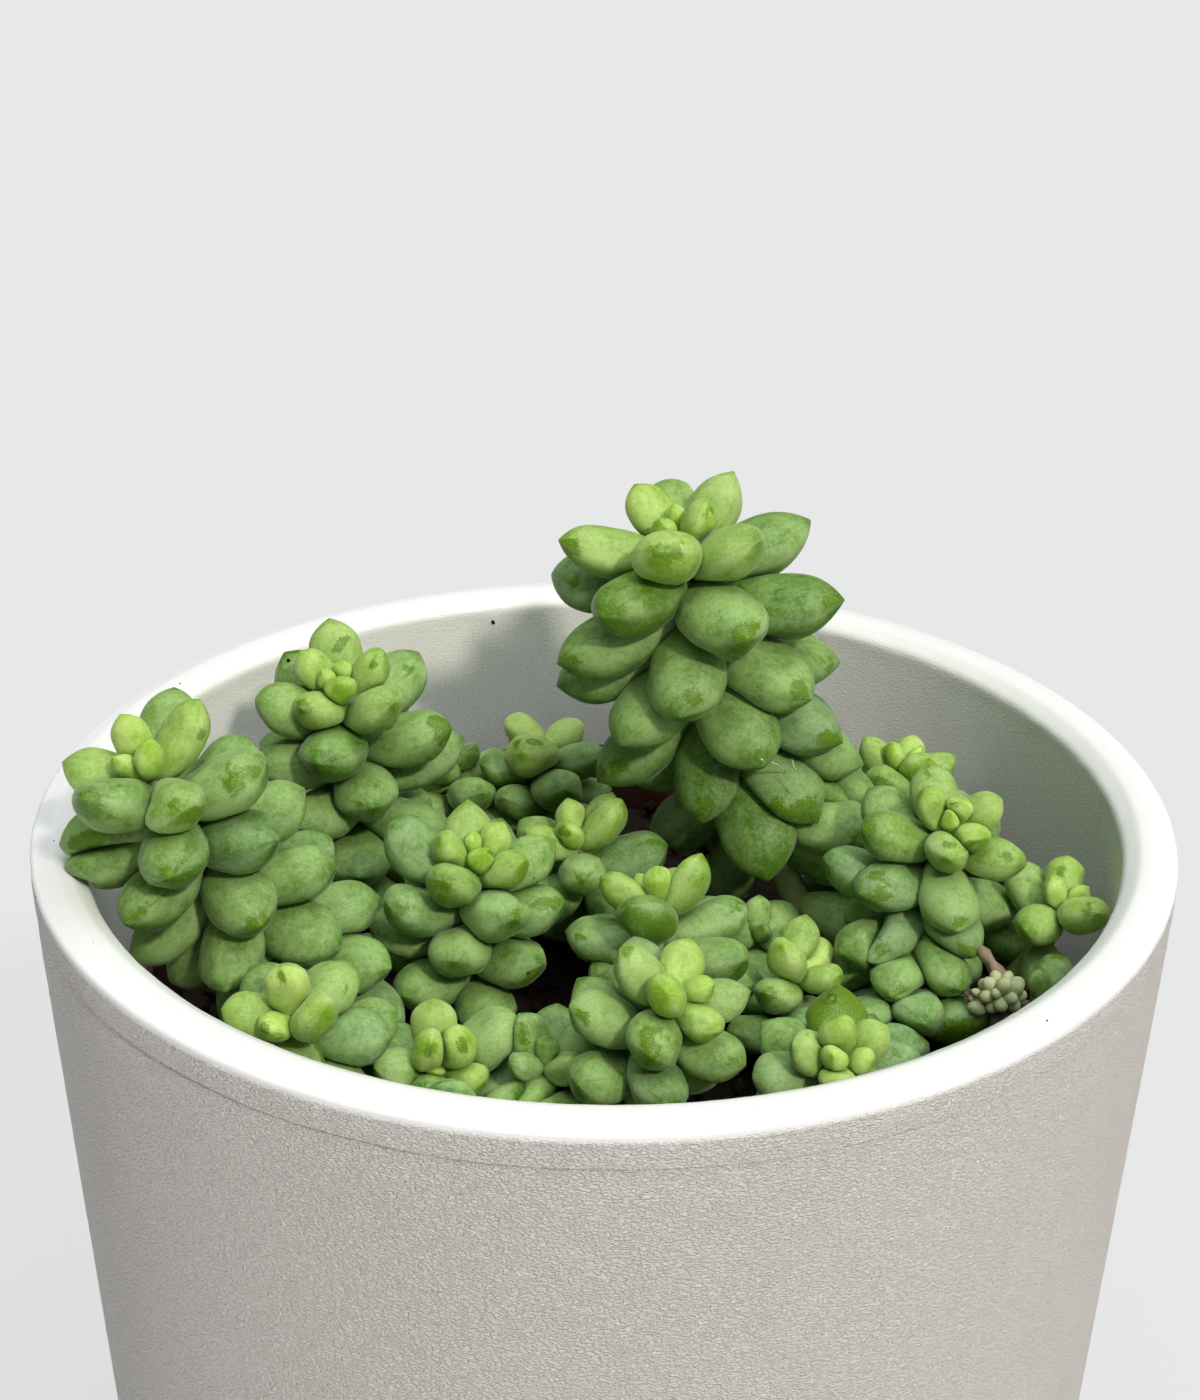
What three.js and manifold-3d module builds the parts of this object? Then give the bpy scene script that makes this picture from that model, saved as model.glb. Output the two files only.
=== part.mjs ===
// Potted burro's tail: a white round planter, a plastic nursery pot, soil and leafy stems.
// Millimetres, +Z up, -Y is the front. The origin is the middle of the planter's underside.
import * as THREE from "three";
import { mergeVertices } from "three/addons/utils/BufferGeometryUtils.js";
import Module from "manifold-3d";

const wasm = await Module();
wasm.setup();

// Planter
const PLANTER_RADIUS = 85;
const PLANTER_HEIGHT = 157;
const WALL_SLOPE = 0.059;
const WALL_THICKNESS = 7.7;
const CREASE_DROP = 6;
const BAND_STEP = 0.3;
const LIP_EDGE_DROP = 1.7;
const LIP_OUTER_ROUND = 5;
const LIP_INNER_ROUND = 4.5;
const LIP_INNER_WIDTH = 1.6;
const PLANTER_FLOOR = 8;
const FOOT_CHAMFER = 2;
const PLANTER_SIDES = 40;

// Nursery pot
const GAP = 0.3;
const NURSERY_RIM_RADIUS = 70;
const NURSERY_RIM_TOP = 131;
const NURSERY_RIM_HEIGHT = 9;
const NURSERY_RIM_STEP = 1.4;
const NURSERY_BASE_RADIUS = 52;
const NURSERY_WALL = 1.2;
const NURSERY_SIDES = 32;
const DRAIN_HOLES = 6;
const DRAIN_RADIUS = 4.5;
const DRAIN_CIRCLE = 36;
const DRAIN_SIDES = 10;

// Soil
const SOIL_TOP = 121.5;
const SOIL_EDGE_DROP = 1.5;
const FOOT_DEPTH = 8;

// Leaves and stems
const GOLDEN_TURN = THREE.MathUtils.degToRad(137.5);
const STEM_RADIUS = 2.6;
const STEM_TIP_RADIUS = 0.9;
const STEM_SIDES = 6;
const STEM_STEPS = 5;
const UPPER_LEAF_SIDES = 5;
const LOWER_LEAF_SIDES = 4;
const UPPER_LEAVES = 13;
const LEAF_RINGS = [0.46, 0.81];
const YOUNGEST_LEAF = 0.3;
const LEAF_WIDTH_BASE = 2.6;
const LEAF_WIDTH_SHARE = 0.42;
const LEAF_FLATNESS = 0.8;
const FURTHEST_DROOP = 125;
const CLEARANCE = 0.42;
const CROWDING = 0.72;
const LIP_CLEARANCE = 0.5;

// Each stem as it stands in the planter: where it leaves the soil, the point that it bends towards,
// its tip, how many leaves it has, the full leaf's length, the stem between two leaves, the first
// leaf's turn and the winding's hand, how many young leaves open out, from and to which angle, and
// how far each older leaf sinks below the last.
const STEMS = [
  stem("tall_stem", [36, 8], [18.5, 25, 155], [11, 21.5, 189],
    { leaves: 54, length: 23, step: 0.94, turn: 80, hand: 1, young: 12, open: [9, 87], droop: 2.1 }),
  stem("left_arching_stem", [-31, -12], [-58, -18, 150.5], [-63.5, -23.5, 172.5],
    { leaves: 30, length: 17.7, step: 1.22, turn: 341, hand: 1, young: 8, open: [5, 80], droop: 1.8 }),
  stem("back_left_stem", [-42.5, 15], [-37.5, 27, 143.5], [-41, 17.5, 165.5],
    { leaves: 26, length: 17.3, step: 1.41, turn: 199, hand: -1, young: 10.5, open: [0, 71], droop: 1.9 }),
  stem("right_stem", [41, -30], [48, 2.5, 138.5], [51.5, -6.5, 156],
    { leaves: 28, length: 15.7, step: 0.99, turn: 214, hand: -1, young: 11, open: [2, 84], droop: 3.6 }),
  stem("front_middle_stem", [-4, -43.5], [3, -44.5, 137.5], [10, -48, 153],
    { leaves: 20, length: 13.3, step: 1.27, turn: 357, hand: -1, young: 8, open: [17, 79], droop: 0.8 }),
  stem("middle_stem", [-18, -8.5], [-22, -6.5, 135.5], [-19, -9.5, 150],
    { leaves: 20, length: 15.7, step: 1.13, turn: 140, hand: 1, young: 9.5, open: [8, 63], droop: 1.9 }),
  stem("left_front_stem", [-29.5, -34], [-39.5, -39, 135], [-41.5, -49, 149],
    { leaves: 16, length: 12.6, step: 1.2, turn: 230, hand: -1, young: 6, open: [17, 88], droop: 0.7 }),
  stem("front_left_stem", [-12, -56], [-24.5, -32.5, 129], [-23, -40.5, 136.5],
    { leaves: 13, length: 14.1, step: 1.18, turn: 258, hand: 1, young: 8.5, open: [7, 67], droop: 1 }),
  stem("centre_stem", [-2, -4], [14.5, -22.5, 133.5], [8.5, -12.5, 146],
    { leaves: 15, length: 14.9, step: 1.29, turn: 159, hand: 1, young: 8.5, open: [-2, 80], droop: 1.1 }),
  stem("centre_back_stem", [3, 19], [-3, 10, 133], [-4, 9.5, 144],
    { leaves: 15, length: 14.2, step: 1.19, turn: 20, hand: -1, young: 9.5, open: [4, 80], droop: 1 }),
  stem("right_front_stem", [38, -49], [30, -43.5, 134.5], [32, -54, 147],
    { leaves: 16, length: 12.5, step: 1.25, turn: 207, hand: 1, young: 10, open: [16, 77], droop: 1 }),
  stem("back_right_stem", [44, 24], [47, 28, 134], [48.5, 30, 146.5],
    { leaves: 18, length: 14, step: 1.24, turn: 346, hand: -1, young: 10, open: [8, 80], droop: 1 }),
  stem("far_right_stem", [58, -6], [67, -6, 136], [69, -8.5, 144],
    { leaves: 14, length: 12.1, step: 1.18, turn: 26, hand: 1, young: 8, open: [11, 81], droop: 1 }),
  stem("small_right_stem", [28.5, -22], [27.5, -17, 129.5], [29, -16, 137],
    { leaves: 10, length: 10.7, step: 1.24, turn: 270, hand: 1, young: 7, open: [12, 83], droop: 1 }),
  stem("back_middle_stem", [-11.5, 38], [-9.5, 45.5, 132], [-10.5, 47.5, 142],
    { leaves: 13, length: 11.8, step: 1.16, turn: 306, hand: -1, young: 6.5, open: [16, 80], droop: 0.8 }),
  stem("low_front_stem", [-6, -30], [-7, -38, 130], [-8, -43, 138],
    { leaves: 10, length: 11.5, step: 1.2, turn: 60, hand: 1, young: 7, open: [14, 80], droop: 1 }),
  stem("low_right_stem", [56, -14], [62, -18, 130], [64, -21, 136],
    { leaves: 10, length: 11.5, step: 1.2, turn: 120, hand: -1, young: 7, open: [14, 80], droop: 1 }),
  stem("low_back_stem", [-24, 44], [-25, 46, 130], [-25.5, 48, 137],
    { leaves: 10, length: 12, step: 1.2, turn: 190, hand: 1, young: 7, open: [14, 80], droop: 1 }),
  stem("low_middle_stem", [19, 2], [22, 0, 128], [24, -1, 134],
    { leaves: 9, length: 12, step: 1.2, turn: 250, hand: -1, young: 7, open: [14, 80], droop: 1 }),
  stem("dried_offset", [55, -30], [57, -28, 128], [58, -25, 134],
    { leaves: 9, length: 5.5, step: 0.5, turn: 30, hand: 1, young: 9, open: [10, 95], droop: 3 }),
];

function stem(name, foot, bend, tip, leafRule) {
  const start = new THREE.Vector3(foot[0], foot[1], SOIL_TOP);
  const [bendPoint, tipPoint] = [new THREE.Vector3(...bend), new THREE.Vector3(...tip)];
  const curve = new THREE.QuadraticBezierCurve3(start, bendPoint, tipPoint);
  return { name, start, curve, ...leafRule };
}

// Solids from rings of points

function solidFromRings(rings, firstPole, lastPole) {
  const sides = rings[0].length;
  const points = [firstPole, ...rings.flat(), lastPole];
  const last = points.length - 1;
  const faces = [];
  for (let j = 0; j < sides; j += 1) {
    const next = (j + 1) % sides;
    faces.push([0, 1 + next, 1 + j]);
    for (let i = 0; i < rings.length - 1; i += 1) {
      const a = 1 + i * sides + j;
      const b = 1 + i * sides + next;
      faces.push([a, b, b + sides], [a, b + sides, a + sides]);
    }
    faces.push([last, last - sides + j, last - sides + next]);
  }
  const vertProperties = new Float32Array(points.flatMap((point) => [point.x, point.y, point.z]));
  const triVerts = new Uint32Array(faces.flat());
  return new wasm.Manifold(new wasm.Mesh({ numProp: 3, vertProperties, triVerts }));
}

function solidFromGeometry(geometry) {
  const bare = geometry.clone();
  bare.deleteAttribute("normal");
  bare.deleteAttribute("uv");
  const merged = mergeVertices(bare, 1e-4);
  const vertProperties = new Float32Array(merged.attributes.position.array);
  const triVerts = new Uint32Array(merged.index.array);
  return new wasm.Manifold(new wasm.Mesh({ numProp: 3, vertProperties, triVerts }));
}

function geometryFromSolid(solid) {
  const mesh = solid.getMesh();
  const geometry = new THREE.BufferGeometry();
  const positions = new Float32Array(mesh.numVert * 3);
  for (let i = 0; i < mesh.numVert; i += 1) {
    for (let axis = 0; axis < 3; axis += 1) {
      positions[3 * i + axis] = mesh.vertProperties[mesh.numProp * i + axis];
    }
  }
  geometry.setAttribute("position", new THREE.BufferAttribute(positions, 3));
  geometry.setIndex(new THREE.BufferAttribute(new Uint32Array(mesh.triVerts), 1));
  const flat = geometry.toNonIndexed();
  flat.computeVertexNormals();
  return flat;
}

// Only the outer skin of the largest body stays, so loose scraps and sealed hollows go.
function largestBody(solid) {
  const bodies = solid.decompose();
  return bodies.reduce((best, body) => (body.volume() > best.volume() ? body : best));
}

// Planter, a turned shell with a flat underside

function arc(centreR, centreZ, radiusR, radiusZ, fromDegrees, toDegrees, steps) {
  return Array.from({ length: steps + 1 }, (_, i) => {
    const angle = THREE.MathUtils.degToRad(fromDegrees + ((toDegrees - fromDegrees) * i) / steps);
    return new THREE.Vector2(centreR + radiusR * Math.cos(angle), centreZ + radiusZ * Math.sin(angle));
  });
}

function planterGeometry() {
  const creaseZ = PLANTER_HEIGHT - CREASE_DROP;
  const outerAt = (z) => PLANTER_RADIUS - WALL_SLOPE * (creaseZ - z);
  const bandRadius = PLANTER_RADIUS - BAND_STEP;
  const innerTop = bandRadius - WALL_THICKNESS;
  const innerTopZ = PLANTER_HEIGHT - LIP_INNER_ROUND;
  const innerFloorRadius = innerTop - WALL_SLOPE * (innerTopZ - PLANTER_FLOOR);
  const lipOuterZ = PLANTER_HEIGHT - LIP_EDGE_DROP;
  const profile = [
    new THREE.Vector2(0, 0),
    new THREE.Vector2(outerAt(FOOT_CHAMFER) - FOOT_CHAMFER, 0),
    new THREE.Vector2(outerAt(FOOT_CHAMFER), FOOT_CHAMFER),
    new THREE.Vector2(PLANTER_RADIUS, creaseZ),
    new THREE.Vector2(bandRadius, creaseZ + 2 * BAND_STEP),
    ...arc(bandRadius - LIP_OUTER_ROUND, lipOuterZ, LIP_OUTER_ROUND, LIP_EDGE_DROP, 0, 90, 4),
    ...arc(innerTop + LIP_INNER_WIDTH, innerTopZ, LIP_INNER_WIDTH, LIP_INNER_ROUND, 90, 180, 3),
    new THREE.Vector2(innerFloorRadius, PLANTER_FLOOR),
    new THREE.Vector2(0, PLANTER_FLOOR),
  ];
  return new THREE.LatheGeometry(profile, PLANTER_SIDES).rotateX(Math.PI / 2);
}

// Nursery pot, a thin cup with a rolled collar and drain holes, standing on the planter's floor

const NURSERY_FLOOR = PLANTER_FLOOR + GAP;
const NURSERY_COLLAR = NURSERY_RIM_TOP - NURSERY_RIM_HEIGHT;
const NURSERY_SHOULDER = NURSERY_RIM_RADIUS - NURSERY_RIM_STEP;

function nurserySolid() {
  const profile = [
    new THREE.Vector2(0, NURSERY_FLOOR),
    new THREE.Vector2(NURSERY_BASE_RADIUS, NURSERY_FLOOR),
    new THREE.Vector2(NURSERY_SHOULDER, NURSERY_COLLAR),
    new THREE.Vector2(NURSERY_RIM_RADIUS, NURSERY_COLLAR + 0.5),
    new THREE.Vector2(NURSERY_RIM_RADIUS, NURSERY_RIM_TOP - 0.4),
    new THREE.Vector2(NURSERY_RIM_RADIUS - 0.4, NURSERY_RIM_TOP),
    new THREE.Vector2(NURSERY_RIM_RADIUS - NURSERY_WALL, NURSERY_RIM_TOP),
    new THREE.Vector2(NURSERY_SHOULDER - NURSERY_WALL, NURSERY_COLLAR),
    new THREE.Vector2(NURSERY_BASE_RADIUS - NURSERY_WALL, NURSERY_FLOOR + NURSERY_WALL),
    new THREE.Vector2(0, NURSERY_FLOOR + NURSERY_WALL),
  ];
  let pot = solidFromGeometry(new THREE.LatheGeometry(profile, NURSERY_SIDES).rotateX(Math.PI / 2));
  for (let i = 0; i < DRAIN_HOLES; i += 1) {
    const angle = (2 * Math.PI * i) / DRAIN_HOLES;
    const drill = new THREE.CylinderGeometry(DRAIN_RADIUS, DRAIN_RADIUS, 4 * NURSERY_WALL, DRAIN_SIDES);
    drill.rotateX(Math.PI / 2);
    drill.translate(DRAIN_CIRCLE * Math.cos(angle), DRAIN_CIRCLE * Math.sin(angle), NURSERY_FLOOR);
    pot = pot.subtract(solidFromGeometry(drill));
  }
  return pot;
}

// Soil, with a plain hole for the foot of every stem

function soilSolid() {
  const innerBase = NURSERY_BASE_RADIUS - NURSERY_WALL;
  const innerShoulder = NURSERY_SHOULDER - NURSERY_WALL;
  const floor = NURSERY_FLOOR + NURSERY_WALL;
  const flare = (innerShoulder - innerBase) / (NURSERY_COLLAR - floor);
  const radiusAt = (z) => innerBase + flare * (z - floor) - GAP;
  const edgeZ = SOIL_TOP - SOIL_EDGE_DROP;
  const profile = [
    new THREE.Vector2(0, floor + GAP),
    new THREE.Vector2(radiusAt(floor + GAP), floor + GAP),
    new THREE.Vector2(radiusAt(edgeZ), edgeZ),
    new THREE.Vector2(radiusAt(edgeZ) - 3 * SOIL_EDGE_DROP, SOIL_TOP),
    new THREE.Vector2(0, SOIL_TOP),
  ];
  let soil = solidFromGeometry(new THREE.LatheGeometry(profile, NURSERY_SIDES).rotateX(Math.PI / 2));
  for (const { start } of STEMS) {
    const depth = FOOT_DEPTH + GAP;
    const radius = (STEM_RADIUS + GAP) / Math.cos(Math.PI / STEM_SIDES);
    const hole = new THREE.CylinderGeometry(radius, radius, 2 * depth, STEM_SIDES);
    hole.rotateX(Math.PI / 2);
    hole.translate(start.x, start.y, SOIL_TOP);
    soil = soil.subtract(solidFromGeometry(hole));
  }
  return soil;
}

// Leaves: each sits the golden turn round from the last, bigger and further open, then sinking

function leavesOf(rule) {
  const reach = rule.curve.getLength();
  const leaves = [];
  let fromTip = 0;
  for (let k = 0; k < rule.leaves; k += 1) {
    const growth = Math.min(1, (k + 1.5) / rule.young);
    if (fromTip > reach - STEM_RADIUS) break;
    const at = 1 - fromTip / reach;
    const along = rule.curve.getTangentAt(at);
    const across = new THREE.Vector3(0, 1, 0).cross(along).normalize();
    const beside = new THREE.Vector3().crossVectors(along, across);
    const opening = rule.open[0] + (rule.open[1] - rule.open[0]) * growth ** 0.8;
    const sunk = Math.min(FURTHEST_DROOP, opening + rule.droop * Math.max(0, k - rule.young));
    const tilt = THREE.MathUtils.degToRad(sunk);
    const turn = THREE.MathUtils.degToRad(rule.turn) + rule.hand * GOLDEN_TURN * k;
    const outward = across.multiplyScalar(Math.cos(turn)).addScaledVector(beside, Math.sin(turn));
    const axis = along.clone().multiplyScalar(Math.cos(tilt)).addScaledVector(outward, Math.sin(tilt));
    const upper = along.clone().multiplyScalar(Math.sin(tilt)).addScaledVector(outward, -Math.cos(tilt));
    const length = rule.length * (YOUNGEST_LEAF + (1 - YOUNGEST_LEAF) * growth);
    const width = length * (LEAF_WIDTH_SHARE + LEAF_WIDTH_BASE / rule.length);
    leaves.push({
      stem: rule.name, k, root: rule.curve.getPointAt(at), axis, upper,
      side: new THREE.Vector3().crossVectors(upper, axis), length, width, height: LEAF_FLATNESS * width,
    });
    fromTip += rule.step * growth;
  }
  return leaves;
}

// A leaf's swelling along its length: a narrow root, fullest past the middle, a blunt point.
function swelling(u) {
  return Math.sin(Math.PI * u ** 1.5) ** 0.72;
}

function leafSolid(leaf, extra) {
  const sides = leaf.k < UPPER_LEAVES ? UPPER_LEAF_SIDES : LOWER_LEAF_SIDES;
  const rings = LEAF_RINGS.map((u) => {
    const centre = leaf.root.clone().addScaledVector(leaf.axis, u * leaf.length);
    const halfWidth = (leaf.width / 2) * swelling(u) + extra;
    const halfHeight = (leaf.height / 2) * swelling(u) + extra;
    return Array.from({ length: sides }, (_, j) => {
      const angle = (2 * Math.PI * j) / sides;
      return centre.clone()
        .addScaledVector(leaf.side, halfWidth * Math.cos(angle))
        .addScaledVector(leaf.upper, halfHeight * Math.sin(angle));
    });
  });
  const point = leaf.root.clone().addScaledVector(leaf.axis, leaf.length + extra);
  const rootEnd = leaf.root.clone().addScaledVector(leaf.axis, -extra);
  return solidFromRings(rings, rootEnd, point);
}

function stalkSolid(rule, extra) {
  const centres = [rule.start.clone().setZ(SOIL_TOP - FOOT_DEPTH)];
  for (let i = 0; i <= STEM_STEPS; i += 1) {
    centres.push(rule.curve.getPointAt(i / STEM_STEPS));
  }
  const rings = centres.map((centre, i) => {
    const taper = Math.max(0, i - 1) / STEM_STEPS;
    const radius = STEM_RADIUS + (STEM_TIP_RADIUS - STEM_RADIUS) * taper ** 2 + extra;
    return Array.from({ length: STEM_SIDES }, (_, j) => {
      const angle = (2 * Math.PI * j) / STEM_SIDES;
      return centre.clone().add(new THREE.Vector3(radius * Math.cos(angle), radius * Math.sin(angle), 0));
    });
  });
  const top = centres.at(-1).clone();
  top.z += STEM_TIP_RADIUS;
  return solidFromRings(rings, centres[0].clone(), top);
}

// Crowding: a leaf that would grow into the pots, the soil, a stalk or another stem's leaf is shed

function sinksInto(leaf, point) {
  const from = point.clone().sub(leaf.root);
  const u = from.dot(leaf.axis) / leaf.length;
  if (u <= 0 || u >= 1) return false;
  const across = from.dot(leaf.side) / ((leaf.width / 2) * swelling(u));
  const above = from.dot(leaf.upper) / ((leaf.height / 2) * swelling(u));
  return Math.hypot(across, above) < CROWDING;
}

function pointsAlong(leaf) {
  const shares = [0.4, 0.55, 0.7, 0.85, 0.95];
  return shares.map((u) => leaf.root.clone().addScaledVector(leaf.axis, u * leaf.length));
}

function meetsPots(leaf) {
  const innerRadius = PLANTER_RADIUS - BAND_STEP - WALL_THICKNESS;
  return [0.3, 0.4, 0.5, 0.6, 0.7, 0.8, 0.9, 1].some((u) => {
    const point = leaf.root.clone().addScaledVector(leaf.axis, u * leaf.length);
    const half = (leaf.height / 2) * swelling(u);
    const radius = Math.hypot(point.x, point.y);
    const bottom = point.z - half;
    const inSoil = bottom < SOIL_TOP + GAP;
    const inNursery = radius + half > NURSERY_RIM_RADIUS - 1 && radius - half < NURSERY_RIM_RADIUS + 2
      && bottom < NURSERY_RIM_TOP + LIP_CLEARANCE;
    const inLip = radius + half > innerRadius - LIP_CLEARANCE && bottom < PLANTER_HEIGHT + LIP_CLEARANCE;
    const pastPlanter = radius + half > PLANTER_RADIUS - LIP_CLEARANCE;
    return inSoil || inNursery || inLip || pastPlanter;
  });
}

function meetsStalk(leaf) {
  return STEMS.some((rule) => rule.name !== leaf.stem && pointsAlong(leaf).some((point) => {
    for (let i = 0; i <= 2 * STEM_STEPS; i += 1) {
      const near = rule.curve.getPointAt(i / (2 * STEM_STEPS)).distanceTo(point);
      if (near < STEM_RADIUS + leaf.height / 4) return true;
    }
    return false;
  }));
}

function grownLeaves() {
  const candidates = STEMS.flatMap(leavesOf).sort((a, b) => a.k - b.k);
  const kept = [];
  for (const leaf of candidates) {
    if (meetsPots(leaf) || meetsStalk(leaf)) continue;
    const own = pointsAlong(leaf);
    const crowded = kept.some((other) => other.stem !== leaf.stem
      && (own.some((point) => sinksInto(other, point))
        || pointsAlong(other).some((point) => sinksInto(leaf, point))));
    if (!crowded) kept.push(leaf);
  }
  return kept;
}

// Leafy stems: leaves fused to their stalk, hollowed where they press on a wall or on an earlier stem

function wallZone(innerLow, innerTop, outer, top) {
  const low = SOIL_TOP - FOOT_DEPTH;
  const corner = (radius, z) => new THREE.Vector2(radius, z);
  const profile = [corner(innerLow, low), corner(outer, low), corner(outer, top), corner(innerTop, top)];
  profile.push(profile[0].clone());
  return solidFromGeometry(new THREE.LatheGeometry(profile, NURSERY_SIDES).rotateX(Math.PI / 2));
}

function leafyStems() {
  const kept = grownLeaves();
  const nurseryInside = NURSERY_SHOULDER - NURSERY_WALL - 2 * GAP;
  const collarInside = NURSERY_RIM_RADIUS - NURSERY_WALL - 2 * GAP;
  const lipInside = PLANTER_RADIUS - BAND_STEP - WALL_THICKNESS - 2 * GAP;
  const taken = [
    wallZone(nurseryInside, collarInside, NURSERY_RIM_RADIUS + 2 * GAP, NURSERY_RIM_TOP + GAP),
    wallZone(lipInside, lipInside, PLANTER_RADIUS + 2, PLANTER_HEIGHT + GAP),
  ];
  return STEMS.map((rule) => {
    const own = kept.filter((leaf) => leaf.stem === rule.name);
    const grown = (extra) => {
      const pieces = [stalkSolid(rule, extra), ...own.map((leaf) => leafSolid(leaf, extra))];
      return wasm.Manifold.union(pieces);
    };
    let solid = grown(0);
    for (const other of taken) {
      solid = solid.subtract(other);
    }
    taken.push(grown(CLEARANCE));
    return { name: rule.name, solid: largestBody(solid) };
  });
}

// Materials

function finish(color, roughness) {
  return new THREE.MeshStandardMaterial({ color, roughness, metalness: 0 });
}

const glazedWhite = () => finish(0xf1efeb, 0.45);
const redBrownPlastic = () => finish(0x7a3b26, 0.6);
const darkSoil = () => finish(0x2b1f17, 1);
const waxyGreen = () => finish(0x86ad66, 0.5);
const driedGreen = () => finish(0x9a9a72, 0.7);

function named(name, geometry, material) {
  const mesh = new THREE.Mesh(geometry, material);
  mesh.name = name;
  return mesh;
}

const plant = new THREE.Group();
plant.add(named("planter", planterGeometry(), glazedWhite()));
plant.add(named("nursery_pot", geometryFromSolid(nurserySolid()), redBrownPlastic()));
plant.add(named("soil", geometryFromSolid(soilSolid()), darkSoil()));
for (const { name, solid } of leafyStems()) {
  const material = name === "dried_offset" ? driedGreen() : waxyGreen();
  plant.add(named(name, geometryFromSolid(solid), material));
}

export default plant;
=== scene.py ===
"""Looks of a potted burro's tail: fine leaves, glazed planter, nursery pot, soil and small details.

The plant is worked out in millimetres by the same growth rule as the solids, then made in metres.
"""

import math

import bpy
import numpy as np
from mathutils import Matrix, Vector, noise
from mathutils.bvhtree import BVHTree


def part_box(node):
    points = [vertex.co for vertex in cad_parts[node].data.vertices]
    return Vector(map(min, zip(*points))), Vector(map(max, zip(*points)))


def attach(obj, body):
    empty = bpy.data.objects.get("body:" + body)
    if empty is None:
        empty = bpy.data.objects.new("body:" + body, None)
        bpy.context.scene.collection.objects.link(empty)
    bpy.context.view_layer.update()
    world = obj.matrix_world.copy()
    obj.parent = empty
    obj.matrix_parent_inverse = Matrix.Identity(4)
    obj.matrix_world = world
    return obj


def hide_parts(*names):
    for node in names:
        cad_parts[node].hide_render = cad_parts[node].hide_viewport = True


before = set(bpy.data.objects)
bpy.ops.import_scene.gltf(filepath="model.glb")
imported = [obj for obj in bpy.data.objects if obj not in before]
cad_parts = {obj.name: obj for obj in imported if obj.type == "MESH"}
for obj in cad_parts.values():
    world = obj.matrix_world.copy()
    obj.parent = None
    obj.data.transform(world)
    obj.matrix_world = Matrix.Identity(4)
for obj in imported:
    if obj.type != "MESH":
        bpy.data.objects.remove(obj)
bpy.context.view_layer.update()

MM = 0.001


def box_mm(node):
    """A solid's lowest and highest corner, in millimetres."""
    return [np.round(np.array(corner) / MM, 2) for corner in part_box(node)]


# Sizes taken from the frame
PLANTER_RADIUS = box_mm("planter")[1][0]
PLANTER_HEIGHT = box_mm("planter")[1][2]
SOIL_TOP = box_mm("soil")[1][2]
NURSERY_TOP = box_mm("nursery_pot")[1][2]
NURSERY_RADIUS = box_mm("nursery_pot")[1][0]
NURSERY_FLOOR = box_mm("nursery_pot")[0][2]

# Planter wall and lip
WALL_SLOPE = 0.059
WALL_THICKNESS = 7.7
CREASE_DROP = 6
CREASE_DEPTH = 0.34
CREASE_FADE = 5
BAND_STEP = 0.1
LIP_EDGE_DROP = 1.5
LIP_EDGE_ROUND = 0.8
LIP_SLOPE = math.radians(16)
LIP_SLOPE_LENGTH = 2.4
LIP_INNER_DEPTH = 4.5
# The lip's inner side: how far outside the inner wall and how far below the top
LIP_INNER_SIDE = (
    (3.1, 0), (2.7, 0.06), (2.3, 0.22), (1.8, 0.53), (1.2, 0.95),
    (0.7, 1.32), (0.36, 1.68), (0.14, 2.15), (0.03, 2.75), (0, 3.6),
)
# Where the lip's slope bends level at its top: steps inward and up
LIP_BEND = ((-0.5, 0.05), (-1.0, 0.07))
# Heights below the crease at which the wall has a ring of points
CREASE_DROPS = (0.9, 0.5, 0.28, 0.14, 0, -0.12, -0.4)
PLANTER_FLOOR = 8
FLOOR_ROUND = 3
FOOT_CHAMFER = 2
PLANTER_SIDES = 360
# The wall's relief in millimetres: throwing rings, soft and fine unevenness
THROWING_DEPTH = 0.03
THROWING_FADE = 14
SOFT_UNEVEN = 0.05
FINE_UNEVEN = 0.035
CREASE_WANDER = 0.25
INSIDE_WRINKLES = 0.12
WRINKLE_FADE = 0.7
INNER_RADIUS = PLANTER_RADIUS - 8

# Nursery pot wall
NURSERY_WALL = 1.2
NURSERY_RIM_HEIGHT = 9
NURSERY_RIM_STEP = 1.4
NURSERY_BASE_RADIUS = 52
DRAIN_HOLES = 6
DRAIN_RADIUS = 4.5
DRAIN_CIRCLE = 36
NURSERY_SIDES = 128

# Soil and crumbs
SOIL_SIDES = 180
CRUMBS = 900
CRUMB_FIELD = 64

# Leaves and stems
GOLDEN_TURN = math.radians(137.5)
STEM_RADIUS = 2.6
STEM_TIP_RADIUS = 0.9
STALK_SIDES = 16
STALK_STEPS = 48
FOOT_DEPTH = 8
YOUNGEST_LEAF = 0.3
LEAF_WIDTH_BASE = 2.6
LEAF_WIDTH_SHARE = 0.42
LEAF_FLATNESS = 0.8
WIDEST = 0.56
BLUNTNESS = (2.4, 4.0)
# Least age for the low stems' leaves, whose older, darker colour is painted shade
PAINTED_SHADE_AGE = 0.85
FURTHEST_DROOP = 125
CROWDING = 0.72
LIP_CLEARANCE = 0.5
GAP = 0.3

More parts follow.
